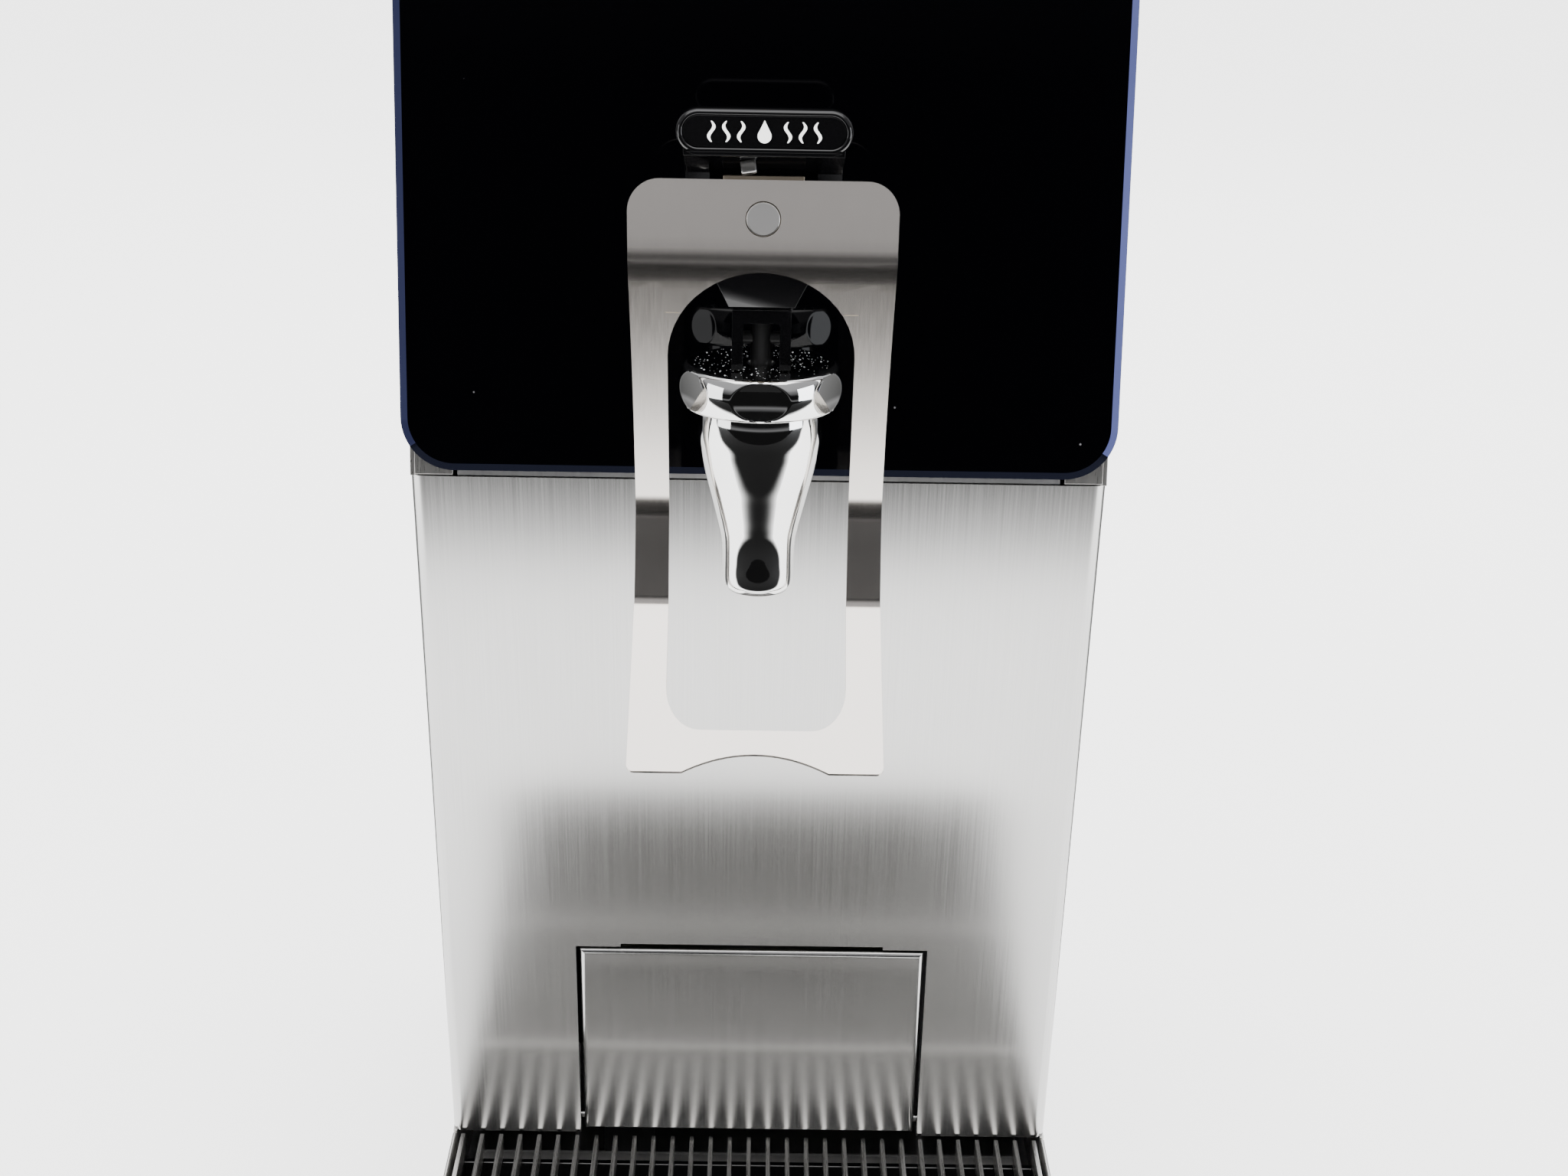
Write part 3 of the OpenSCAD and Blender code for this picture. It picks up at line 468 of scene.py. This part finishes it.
def dressed(node, material, slot, width, segments, uv=False, before=None):
    """A piece in the shape of a CAD node, with its flat faces whole and its edges rounded."""
    bm = bmesh.new()
    bm.from_mesh(nodes[node].data)
    bmesh.ops.remove_doubles(bm, verts=bm.verts, dist=WELD)
    if before:
        before(bm)
    bmesh.ops.dissolve_limit(bm, angle_limit=math.radians(0.5), verts=bm.verts, edges=bm.edges)
    bmesh.ops.recalc_face_normals(bm, faces=bm.faces)
    if uv:
        box_uv(bm)
    piece = finish_piece(node + "_piece", bm, material, body_of(nodes[node])[0], [node],
        sharp=SHARP_EDGE)
    add_bevel(piece, width, segments, SHARP_EDGE)


def cut_level(bm, height):
    """Takes off everything above a height, and closes the cut."""
    made = bmesh.ops.bisect_plane(bm, geom=bm.verts[:] + bm.edges[:] + bm.faces[:], plane_co=(0, 0, height),
        plane_no=(0, 0, 1), clear_outer=True, dist=CUT)
    rim = [e for e in made["geom_cut"] if isinstance(e, bmesh.types.BMEdge)]
    bmesh.ops.triangle_fill(bm, use_beauty=True, edges=rim)


def round_front(bm, lean, width):
    """Rounds the edges round the foremost flat face of a piece that leans by an angle."""
    bmesh.ops.dissolve_limit(bm, angle_limit=math.radians(0.5), verts=bm.verts, edges=bm.edges)
    out = Vector((0, -math.cos(lean), -math.sin(lean)))
    reach = max(v.co @ out for v in bm.verts)
    front = {v for v in bm.verts if v.co @ out > reach - 0.00002}
    edges = [e for e in bm.edges if all(v in front for v in e.verts) and e.calc_face_angle(0) > 0.5]
    bmesh.ops.bevel(bm, geom=edges, offset=width * MM, segments=5, profile=0.5, affect="EDGES",
        clamp_overlap=True)


def ring(bm, points):
    return [bm.verts.new(p) for p in points]


def bridge(bm, a, b):
    """A band of faces between two closed loops of as many vertices."""
    count = len(a)
    for i in range(count):
        j = (i + 1) % count
        bm.faces.new((a[i], a[j], b[j], b[i]))


def cut_across(bm, place, normal):
    """Adds edges where a plane crosses the mesh, and takes nothing off."""
    bmesh.ops.bisect_plane(bm, geom=bm.verts[:] + bm.edges[:] + bm.faces[:], plane_co=place,
        plane_no=normal, dist=CUT)


def lathe(bm, profile, place, turn=Matrix.Identity(3), *, segments):
    """A turned solid: profile lists (radius, height) and place is the point of height 0 on its axis."""
    last = None
    for radius, height in profile:
        if radius < 1e-7:
            current = [bm.verts.new(Vector(place) + turn @ Vector((0, 0, height)))]
        else:
            current = ring(bm, [Vector(place) + turn @ Vector((
                radius * math.cos(2 * math.pi * i / segments),
                radius * math.sin(2 * math.pi * i / segments), height)) for i in range(segments)])
        if last and len(last) == 1 and len(current) > 1:
            for i in range(segments):
                bm.faces.new((last[0], current[i], current[(i + 1) % segments]))
        elif last and len(current) == 1 and len(last) > 1:
            for i in range(segments):
                bm.faces.new((current[0], last[(i + 1) % segments], last[i]))
        elif last:
            bridge(bm, last, current)
        last = current


def smooth_line(points, steps):
    """A smooth line through the points."""
    out = []
    for i in range(len(points) - 1):
        p = [Vector(points[max(0, min(len(points) - 1, i + k))]) for k in (-1, 0, 1, 2)]
        for s in range(steps):
            t = s / steps
            out.append(0.5 * (2 * p[1] + (p[2] - p[0]) * t + (2 * p[0] - 5 * p[1] + 4 * p[2] - p[3]) * t * t
                + (3 * p[1] - p[0] - 3 * p[2] + p[3]) * t ** 3))
    out.append(Vector(points[-1]))
    return out


def rounded_outline(width, height, r, segments=16):
    """A rectangle about the origin with round corners of radius r, from the lower right one round."""
    out = []
    for (sx, sy), start in zip(((1, -1), (1, 1), (-1, 1), (-1, -1)), (-90, 0, 90, 180)):
        for i in range(segments + 1):
            a = math.radians(start + 90 * i / segments)
            out.append((sx * (width / 2 - r) + r * math.cos(a), sy * (height / 2 - r) + r * math.sin(a)))
    return out


def circle_outline(x, z, r, segments=48):
    turns = [2 * math.pi * i / segments for i in range(segments)]
    return [(x + r * math.cos(a), z + r * math.sin(a)) for a in turns]


def fill(bm, loops):
    """A flat face, or faces, between an outer loop of vertices and the loops of its holes."""
    edges = []
    for loop in loops:
        for i, v in enumerate(loop):
            pair = (v, loop[(i + 1) % len(loop)])
            edges.append(bm.edges.get(pair) or bm.edges.new(pair))
    bmesh.ops.triangle_fill(bm, use_beauty=True, use_dissolve=False, edges=edges)


# ---- Glass panel ----
def make_glass():
    """The panel in its own frame, with a wide flat bevel round its face and small ones behind."""
    low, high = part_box("glass_panel")
    thick = 5 * MM
    light_low, light_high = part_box("ready_light")
    width = high.x - low.x
    # The front face leans back from its lowest edge, which is the box's lowest front edge
    height = (high.z - low.z - thick * math.sin(GLASS_LEAN)) / math.cos(GLASS_LEAN)
    foot = Vector((0, low.y, low.z))
    turn = Matrix.Rotation(-GLASS_LEAN, 3, "X")
    face_w = 1.9 * MM
    face_d = 0.9 * MM
    back_w = 0.5 * MM
    up_shank = (shank_z - foot.z) / math.cos(GLASS_LEAN)
    up_light = ((light_low.z + light_high.z) / 2 - foot.z) / math.cos(GLASS_LEAN)
    rows = [(face_w, 0), (0, face_d), (0, thick - back_w), (back_w, thick)]
    radius = 13.5 * MM
    chamfer = 0.4 * MM
    bm = bmesh.new()

    def outline(inset, y):
        shape = rounded_outline(width - 2 * inset, height - 2 * inset, radius - inset)
        return ring(bm, [foot + turn @ Vector((x, y, z + height / 2)) for x, z in shape])

    def hole(z, r, y):
        return ring(bm, [foot + turn @ Vector((x, y, up)) for x, up in circle_outline(0, z, r)])

    outer = [outline(inset, y) for inset, y in rows]
    for a, b in zip(outer, outer[1:]):
        bridge(bm, a, b)
    edge_faces = list(bm.faces)
    bores = []
    for z, r in ((up_shank, 10.5 * MM), (up_light, 3 * MM)):
        loops = [hole(z, r + chamfer, 0), hole(z, r, chamfer), hole(z, r, thick - chamfer),
            hole(z, r + chamfer, thick)]
        for a, b in zip(loops, loops[1:]):
            bridge(bm, a, b)
        bores.append(loops)
    fill(bm, [outer[0]] + [b[0] for b in bores])
    fill(bm, [outer[-1]] + [b[-1] for b in bores])
    bm.normal_update()
    side = 0.4 * width
    # The edge faces at the right and left take the copies with painted light, the rest the foot's painted
    # shade
    for f in edge_faces:
        centre = f.calc_center_median()
        f.material_index = EDGE_FOOT_PAINTED_SHADE
        if centre.z > low.z + 6 * MM and abs(centre.x) > side:
            f.material_index = EDGE_RIGHT_PAINTED_LIGHT if centre.x > 0 else EDGE_LEFT_PAINTED_LIGHT
    finish_piece("glass_front", bm, MATERIALS["black_glass"], "cabinet", ["glass_panel"],
        sharp=12, extra=EDGES)


# ---- Faucet ----
def make_faucet():
    """The chrome body: a turned bell that narrows to the spout, with its shank and the flange at the glass.

    It is solid above the spout's bore: it doesn't have the CAD body's chamber for the seat cup and spring.
    """
    zt = tray_top
    outer = [(14.6, 255.6), (14.8, 253), (14.7, 249.6), (14.1, 246.2), (13.35, 242.6), (12.45, 238.8),
        (11.45, 235), (10.45, 231.1), (9.5, 227.3), (8.9, 224.6), (8.6, 222), (8.52, 218.5), (8.55, 215),
        (8.4, 213), (7.9, 211.9), (7.1, 211.15), (5.9, 211.02)]
    line = smooth_line([(r * MM, z * MM + zt, 0) for r, z in outer], 5)
    profile = [(p.x, p.y) for p in line]
    profile += [(BORE + 0.4 * MM, zt + 211.05 * MM), (BORE, zt + 211.45 * MM), (BORE, zt + 236 * MM),
        (0, zt + 236 * MM)]
    profile = [(0, zt + 255.6 * MM)] + profile
    bm = bmesh.new()
    lathe(bm, profile, (0, axis_y, 0), segments=128)
    # Shank: along Y from inside the body to the panel's back, and its flange on the glass
    turn = Matrix.Rotation(math.radians(-90), 3, "X")
    _, body_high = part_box("faucet_body")
    glass_low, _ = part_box("glass_panel")
    glass_at = glass_low.y + (shank_z - glass_low.z) * math.tan(GLASS_LEAN) - axis_y
    tail = body_high.y - axis_y
    r = 8 * MM
    flange = 12 * MM
    neck = [(0, 2 * MM), (r + 3.2 * MM, 2 * MM), (r + 2.6 * MM, 10.2 * MM), (r + 0.7 * MM, 12.4 * MM),
        (r, 15 * MM)]
    plate = [(r, glass_at - 8.0 * MM), (flange - 1.4 * MM, glass_at - 7.6 * MM),
        (flange - 0.3 * MM, glass_at - 6.4 * MM), (flange, glass_at - 4.6 * MM),
        (flange, glass_at - 2.2 * MM), (flange - 0.4 * MM, glass_at - 1.2 * MM), (r, glass_at - 1.2 * MM)]
    rest = [(r, tail - 0.6 * MM), (r - 0.6 * MM, tail), (BORE, tail), (BORE, tail - 20 * MM),
        (0, tail - 20 * MM)]
    lathe(bm, neck + plate + rest, (0, axis_y, shank_z), turn, segments=72)
    finish_piece("faucet_body_piece", bm, MATERIALS["faucet_chrome"], "cabinet",
        ["faucet_body"], sharp=40)


def make_bonnet():
    """The ring nut: a barrel with six shallow scallops round it, and a stepped top."""
    low, high = bonnet_low, bonnet_high
    bulge = 0.053 / MM
    waist = (low.z + high.z) / 2
    radius = 19.05 * MM
    facet = radius - 1.5 * MM
    ridge = 0.05 * MM
    count = 6
    per = 84
    half = math.pi / count
    bm = bmesh.new()

    def barrel(v):
        edge = max(0.0, abs(v) - 4.2 * MM)
        return radius - bulge * v * v - edge * edge / (1.3 * MM)

    def section(v):
        points = []
        big = barrel(v)
        for k in range(count):
            heading = -math.pi / 2 + 2 * half * k
            for i in range(per):
                a = -half + 2 * half * i / per
                out, side = big * math.cos(a), big * math.sin(a)
                limit = facet + 0.0055 / MM * side * side + 0.018 / MM * v * v
                # The smaller of the two, with a small round where they meet
                nearer, gap = min(out, limit), abs(out - limit)
                out = nearer - ridge * math.log(1 + math.exp(-min(gap / ridge, 40)))
                points.append(Vector((out * math.cos(heading) - side * math.sin(heading),
                    axis_y + out * math.sin(heading) + side * math.cos(heading), waist + v)))
        return ring(bm, points)

    steps = 44
    reach = (high.z - low.z) / 2 - 0.15 * MM
    rows = [section(-reach + 2 * reach * i / steps) for i in range(steps + 1)]
    for a, b in zip(rows, rows[1:]):
        bridge(bm, a, b)
    total = count * per

    def flat(r, z):
        turns = [-math.pi / 2 - half + 2 * math.pi * i / total for i in range(total)]
        return ring(bm, [Vector((r * math.cos(a), axis_y + r * math.sin(a), z)) for a in turns])

    top = high.z
    inner = 2.55 * MM
    cap = [flat(16.9 * MM, top - 0.02 * MM), flat(16.3 * MM, top), flat(3.4 * MM, top),
        flat(inner, top - 0.6 * MM), flat(inner, top - 3 * MM), flat(9 * MM, top - 3 * MM),
        flat(9 * MM, low.z)]
    last = rows[-1]
    for loop in cap:
        bridge(bm, last, loop)
        last = loop
    bridge(bm, last, rows[0])
    finish_piece("faucet_bonnet_piece", bm, MATERIALS["faucet_chrome"], "cabinet",
        ["faucet_bonnet"], sharp=20)


def make_droplets():
    """Water droplets on the flat top of the ring nut."""
    count = 230
    gap = 0.1 * MM
    dome = [(0, 0.62), (0.35, 0.56), (0.65, 0.42), (0.88, 0.22), (0.98, 0.08), (1.0, 0.0), (0.9, -0.03),
        (0, -0.03)]
    rng = random.Random(7)
    bm = bmesh.new()
    placed = []
    while len(placed) < count:
        angle = rng.uniform(0, 2 * math.pi)
        away = rng.uniform(5.5, 16.2) * MM
        size = rng.choice((0.07, 0.08, 0.1, 0.12, 0.15, 0.24)) * MM
        x, y = away * math.cos(angle), away * math.sin(angle)
        if any((x - a) ** 2 + (y - b) ** 2 < (size + c + gap) ** 2 for a, b, c in placed):
            continue
        placed.append((x, y, size))
        stretch = rng.uniform(0.85, 1.2)
        first = len(bm.verts)
        lathe(bm, [(r * size, h * size) for r, h in dome], (0, 0, 0), segments=12)
        bm.verts.ensure_lookup_table()
        for v in bm.verts[first:]:
            v.co.x = v.co.x * stretch + x
            v.co.y = v.co.y / stretch + y + axis_y
            v.co.z += bonnet_high.z
    finish_piece("water_drops", bm, WATER, "cabinet", sharp=60)


# ---- Lever plate ----
def make_lever_plate():
    """Folded sheet with real bend radii: a flat blank with its arch, wrapped along the fold in strips."""
    low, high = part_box("lever_plate")
    zt = tray_top
    head, tail = 310.7, 174.6
    # The fold's corners, in millimetres ahead of the faucet's axis and above the tray
    line = [(15.2, head), (19.6, 292.1), (-2.5, 230.1), (-0.1, 207.1), (27.0, tail)]
    radii = [0, 12.0, 12.0, 3.0, 0]
    corners = [Vector((axis_y - ahead * MM, zt + up * MM)) for ahead, up in line]
    thick = 1.5 * MM
    path = [corners[0]]
    for i in range(1, len(corners) - 1):
        a, b, c = corners[i - 1], corners[i], corners[i + 1]
        u, v = (a - b).normalized(), (c - b).normalized()
        bend = math.pi - u.angle(v)
        cut = (radii[i] * MM + thick) * math.tan(bend / 2)
        start, finish = b + u * cut, b + v * cut
        for s in range(9):
            t = s / 8
            path.append((1 - t) ** 2 * start + 2 * t * (1 - t) * b + t * t * finish)
    path.append(corners[-1])
    lengths = [0.0]
    for a, b in zip(path, path[1:]):
        lengths.append(lengths[-1] + (b - a).length)

    def at(s):
        for i in range(len(path) - 1):
            if s <= lengths[i + 1] or i == len(path) - 2:
                t = (s - lengths[i]) / (lengths[i + 1] - lengths[i])
                return path[i] + (path[i + 1] - path[i]) * t
        return path[-1]

    def along(z):
        """Length along the fold of the point at height z."""
        for i in range(len(path) - 1):
            if path[i + 1].y <= z:
                share = (path[i].y - z) / (path[i].y - path[i + 1].y)
                return lengths[i] + share * (lengths[i + 1] - lengths[i])
        return lengths[-1]

    total = lengths[-1]
    half = (high.x - low.x) / 2
    arch = 21.2 * MM
    top_r = 7 * MM
    side_top, side_foot = 303.7, 175.8
    arch_top = zt + 290.8 * MM
    foot = zt + 182.5 * MM
    foot_r = 8 * MM
    shape = []
    for i in range(13):
        a = math.radians(90 - 90 * i / 12)
        shape.append((half - top_r + top_r * math.cos(a), zt + (head - 7 + 7 * math.sin(a)) * MM))
    for k in range(1, 13):
        t = k / 12
        shape.append((half - 0.9 * MM * math.sin(math.pi * t),
            zt + (side_top - (side_top - side_foot) * t) * MM))
    for k in range(1, 5):
        a = math.radians(90 * k / 5)
        shape.append((half - 1.6 * MM * (1 - math.cos(a)), zt + (side_foot - 1.2 * math.sin(a)) * MM))
    shape.append((half - 1.6 * MM, zt + tail * MM))
    notch = 17.2 * MM
    for i in range(21):
        t = 1 - 2 * i / 20
        shape.append((notch * t, zt + (tail + 3.4 * (1 - t * t)) * MM))
    shape += [(-x, z) for x, z in reversed(shape[:30])]
    outer = [(x, along(z)) for x, z in shape]
    inner = []
    for i in range(25):
        a = math.radians(180 * i / 24)
        inner.append((arch * math.cos(a), arch_top - arch + arch * math.sin(a)))
    for i in range(9):
        a = math.radians(180 + 90 * i / 8)
        inner.append((-arch + foot_r + foot_r * math.cos(a), foot + foot_r + foot_r * math.sin(a)))
    for i in range(9):
        a = math.radians(270 + 90 * i / 8)
        inner.append((arch - foot_r + foot_r * math.cos(a), foot + foot_r + foot_r * math.sin(a)))
    inner = [(x, along(z)) for x, z in inner]
    stud = circle_outline(0, along(302.4 * MM + zt), 3.95 * MM, 40)
    bm = bmesh.new()
    fill(bm, [ring(bm, [(x, 0, s) for x, s in loop]) for loop in (outer, inner, stud)])
    for s in sorted(lengths[1:-1] + [total * k / 24 for k in range(1, 24)]):
        cut_across(bm, (0, 0, s), (0, 0, 1))
    for x in (-0.024, -0.012, 0.0, 0.012, 0.024):
        cut_across(bm, (x, 0, 0), (1, 0, 0))
    layer = bm.loops.layers.uv.new("grain")
    for face in bm.faces:
        for loop in face.loops:
            loop[layer].uv = (loop.vert.co.x, loop.vert.co.z)
    for v in bm.verts:
        p = at(v.co.z)
        v.co = Vector((v.co.x, p.x, p.y))
    bmesh.ops.recalc_face_normals(bm, faces=bm.faces)
    facing = sum(f.normal.y * f.calc_area() for f in bm.faces)
    if facing > 0:
        bmesh.ops.reverse_faces(bm, faces=bm.faces)
    mesh = bpy.data.meshes.new("lever_plate_piece")
    for face in bm.faces:
        face.smooth = True
    bm.to_mesh(mesh)
    bm.free()
    piece = bpy.data.objects.new("lever_plate_piece", mesh)
    bpy.context.collection.objects.link(piece)
    mesh.materials.append(LEVER)
    solid = piece.modifiers.new("sheet", "SOLIDIFY")
    solid.thickness = thick
    solid.offset = -1
    solid.use_even_offset = True
    add_bevel(piece, 0.3, 2, 50)
    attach(piece, body_of(nodes["lever_plate"])[0])
    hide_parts("lever_plate")

    # Short marks of the folding tool beside the arch
    marks = bmesh.new()
    mark_z = zt + 280.8 * MM
    for side in (-1, 1):
        rows = []
        for z in (mark_z + 0.09 * MM, mark_z - 0.09 * MM):
            p = at(along(z))
            for x in (18.4 * MM, 21.6 * MM):
                rows.append([Vector((side * x, p.x + dy * MM, p.y)) for dy in (-0.03, 0.2)])
        a, b, c, d = [[marks.verts.new(v) for v in row] for row in rows]
        for quad in ((a[0], b[0], d[0], c[0]), (a[1], b[1], d[1], c[1]), (a[0], a[1], b[1], b[0]),
                (c[0], c[1], d[1], d[0]), (a[0], a[1], c[1], c[0]), (b[0], b[1], d[1], d[0])):
            marks.faces.new(quad)
    finish_piece("fold_marks", marks, MATERIALS["bracket_steel"], "handle")


# ---- The handle's head: a bar with round ends and a raised, rounded rim round the label ----
def make_head():
    """Rows run from the back to the rim's crest and in to the label, as (inset, depth) in millimetres."""
    place = Vector((0, axis_y - 27 * MM, tray_top + 322.9 * MM))
    turn = Matrix.Rotation(-HEAD_TILT, 3, "X")
    half_w, half_h = 19.2, 5.0
    rows = [(3.2, 9.9), (1.6, 9.85), (0.75, 9.5), (0.2, 8.8), (0, 7.9), (0, 5), (0, 2.2), (0.06, 1.4),
        (0.24, 0.75), (0.52, 0.3), (0.86, 0.06), (1.15, 0.02), (1.38, 0.12), (1.52, 0.32), (1.58, 0.55),
        (1.6, 0.8)]
    bm = bmesh.new()
    last = None
    for inset, depth in rows:
        shape = rounded_outline(2 * (half_w - inset), 2 * (half_h - inset), half_h - inset)
        current = ring(bm, [place + turn @ Vector((x * MM, depth * MM, z * MM)) for x, z in shape])
        if last:
            bridge(bm, last, current)
        else:
            bm.faces.new(current)
        last = current
    bm.faces.new(last)
    bmesh.ops.remove_doubles(bm, verts=bm.verts, dist=WELD)
    finish_piece("handle_head", bm, MATERIALS["handle_plastic"], "handle", sharp=50)


# ---- Label pictogram ----
def make_pictogram():
    """A drop with three wisps of steam on each side, printed on the label: a plain sign for hot water."""
    turn = Matrix.Rotation(-HEAD_TILT, 3, "X")
    centre = Vector((0, label_low.y, (label_low.z + label_high.z) / 2))
    lift = 0.12 * MM
    # The middle of the label's face, which leans back with the head
    half_h = (label_high.z - label_low.z) / 2
    origin = centre + Vector((0, half_h * math.sin(HEAD_TILT), 0))
    bm = bmesh.new()

    def shape(points):
        front = ring(bm, [origin + turn @ Vector((x * MM, -lift, z * MM)) for x, z in points])
        back = ring(bm, [origin + turn @ Vector((x * MM, 0.05 * MM, z * MM)) for x, z in points])
        bridge(bm, front, back)
        fill(bm, [front])
        fill(bm, [back])

    drop = [(0, 2.5)]
    for i in range(25):
        a = math.radians(35 - 250 * i / 24)
        drop.append((1.5 * math.cos(a), -0.85 + 1.5 * math.sin(a)))
    shape(drop)
    for k, x in enumerate((-11.4, -8.2, -5.0, 5.0, 8.2, 11.4)):
        left, right = [], []
        for i in range(17):
            z = -2.2 + 4.4 * i / 16
            mid = x + 0.55 * math.sin(2 * math.pi * i / 16) * (1 if k % 2 else -1)
            wide = 0.42 * math.sin(math.pi * (0.12 + 0.76 * i / 16))
            left.append((mid - wide, z))
            right.append((mid + wide, z))
        shape(left + right[::-1])
    finish_piece("label_pictogram", bm, WHITE, "handle", sharp=40)


# ---- The bent tab on the lever's bracket, seen above the plate ----
def make_bracket_tab():
    """A small bright block, tipped back and to one side."""
    low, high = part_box("lever_bracket")
    bm = bmesh.new()
    bmesh.ops.create_cube(bm, size=1.0)
    bmesh.ops.scale(bm, vec=(3.4 * MM, 1.6 * MM, 3.0 * MM), verts=bm.verts)
    bmesh.ops.bevel(bm, geom=bm.edges[:], offset=0.35 * MM, segments=3, profile=0.5, affect="EDGES")
    place = Matrix.Translation((-3.4 * MM, (low.y + high.y) / 2 + 0.5 * MM, high.z + 1.9 * MM))
    turn = Matrix.Rotation(math.radians(-9), 4, "Y") @ Matrix.Rotation(math.radians(-35), 4, "X")
    bmesh.ops.transform(bm, matrix=place @ turn, verts=bm.verts)
    finish_piece("bracket_tab", bm, TAB, "handle", sharp=50)


# ---- Screws on the back ----
def make_screws():
    """Pan-head screws with a cross recess."""
    low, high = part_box("cover_screws")
    radius = 3.4 * MM
    dome = [(0, 0.35), (0.9, 0.35), (1.0, 1.5), (1.9, 1.42), (2.8, 1.1), (3.25, 0.6), (3.4, 0.0), (0, 0.0)]
    centres = [(side * (high.x - radius), z) for z in (low.z + radius, 0.300, high.z - radius)
        for side in (-1, 1)]
    turn = Matrix.Rotation(math.radians(-90), 3, "X")
    bm = bmesh.new()
    for x, z in centres:
        first = len(bm.verts)
        lathe(bm, [(r * MM, h * MM) for r, h in dome], (x, low.y, z), turn, segments=48)
        bm.verts.ensure_lookup_table()
        for v in bm.verts[first:]:
            d = v.co - Vector((x, low.y, z))
            # The recess's floor and its rim are drawn out into a cross
            if 0.3 * MM < d.y < 0.4 * MM and max(abs(d.x), abs(d.z)) > 0.1 * MM:
                least = 0.35
            elif d.y > 1.45 * MM:
                least = 0.5
            else:
                continue
            a = math.atan2(d.z, d.x)
            grow = least + 1.3 * abs(math.cos(2 * a)) ** 3
            v.co.x, v.co.z = x + d.x * grow, z + d.z * grow
    finish_piece("cover_screws_piece", bm, MATERIALS["stud_steel"], "cabinet",
        ["cover_screws"], sharp=35)


def make_spring():
    """The spring round the stem: a coil wound from low to high."""
    low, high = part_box("faucet_spring")
    wire = 0.95 * MM
    mean = high.x - 1.0 * MM
    turns, steps, sides = 5.5, 36, 12
    bottom, top = low.z + wire, high.z - wire
    count = round(turns * steps)
    bm = bmesh.new()
    rings = []
    for i in range(count + 1):
        around = 2 * math.pi * i / steps
        out = Vector((math.cos(around), math.sin(around), 0))
        centre = Vector((0, axis_y, bottom + (top - bottom) * i / count)) + out * mean
        rings.append(ring(bm, [centre + out * wire * math.cos(2 * math.pi * k / sides)
            + Vector((0, 0, wire * math.sin(2 * math.pi * k / sides))) for k in range(sides)]))
    for a, b in zip(rings, rings[1:]):
        bridge(bm, a, b)
    bm.faces.new(rings[0])
    bm.faces.new(rings[-1])
    piece = finish_piece("faucet_spring_piece", bm, MATERIALS["stud_steel"], "cabinet",
        ["faucet_spring"], sharp=50)
    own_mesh(piece)


make_camera()
make_world()
area_light("overhead", (0.0, -1.1, 2.3), (0, -0.1, 0.2), (3.0, 1.6), 38, (1.0, 0.99, 0.97))
area_light("side_left", (-1.5, -0.75, 0.4), (0, -0.05, 0.3), (0.8, 0.8), 7, (0.97, 0.98, 1.0), sheen=True)
area_light("side_right", (1.5, -0.75, 0.4), (0, -0.05, 0.3), (0.8, 0.8), 12, (0.92, 0.95, 1.0), sheen=True)
area_light("back", (0.3, 1.7, 1.6), (0, 0.05, 0.3), (2.0, 1.4), 22)

plane("floor", -STAGE, STAGE, COUNTER_EDGE, FLOOR_BACK, FLOOR)
plane("floor_back", -STAGE, STAGE, FLOOR_BACK, STAGE, FLOOR).visible_glossy = False
plane("floor_front", -STAGE, STAGE, -STAGE, COUNTER_EDGE, FLOOR).visible_glossy = False
make_mirror_card()

# ---- Every node takes its slot's finish, and the ones that show get rounded edges ----
slot_of = {part["node"]: part["material_slot"] for part in frame["record"]["subparts"]}
ROUNDED = {
    "side_panel_left": (0.5, 2), "side_panel_right": (0.5, 2), "top_cover": (0.5, 2), "back_panel": (0.3, 1),
    "drip_tray": (0.5, 3), "drip_grille": (0.3, 2), "lever_stud": (0.35, 3), "lever_bracket": (0.25, 2),
    "lever_nut": (0.3, 2), "handle": (0.7, 4), "handle_label": (0.15, 2), "power_inlet": (0.5, 2),
    "switch_housing": (0.4, 2), "power_rocker": (0.5, 3), "foot_front_left": (0.5, 2),
    "foot_front_right": (0.5, 2), "foot_rear_left": (0.5, 2), "foot_rear_right": (0.5, 2),
    "inlet_fitting": (0.3, 2), "drain_lever": (0.5, 2), "thermostat_knob": (0.5, 2), "ready_light": (0.4, 3),
    "pivot_pin": (0.2, 2), "faucet_stem": (0.3, 2), "panel_backing": (0.4, 2), "tray_liner": (0.5, 2),
    "backsplash": (0.5, 2),
}
DONE_BY_HAND = {"glass_panel", "faucet_body", "faucet_bonnet", "lever_plate", "cover_screws",
    "faucet_spring"}

for name, obj in nodes.items():
    finish = MATERIALS[slot_of[name]]
    if name == "access_cover":
        dressed(name, SPLASH, slot_of[name], 0.2, 2, uv=True,
            before=lambda bm: round_front(bm, COVER_LEAN, 1.7))
    elif name == "handle":
        dressed(name, finish, slot_of[name], *ROUNDED[name],
            before=lambda bm: cut_level(bm, tray_top + 318.6 * MM))
    elif name == "tray_liner":
        dressed(name, LINER, slot_of[name], *ROUNDED[name])
    elif name == "backsplash":
        dressed(name, SPLASH, slot_of[name], *ROUNDED[name], uv=True)
    elif name in ROUNDED:
        dressed(name, finish, slot_of[name], *ROUNDED[name])
    elif name not in DONE_BY_HAND:
        obj.data.materials.clear()
        obj.data.materials.append(finish)

make_glass()
make_faucet()
make_bonnet()
make_spring()
make_droplets()
make_lever_plate()
make_head()
make_pictogram()
make_bracket_tab()
make_screws()
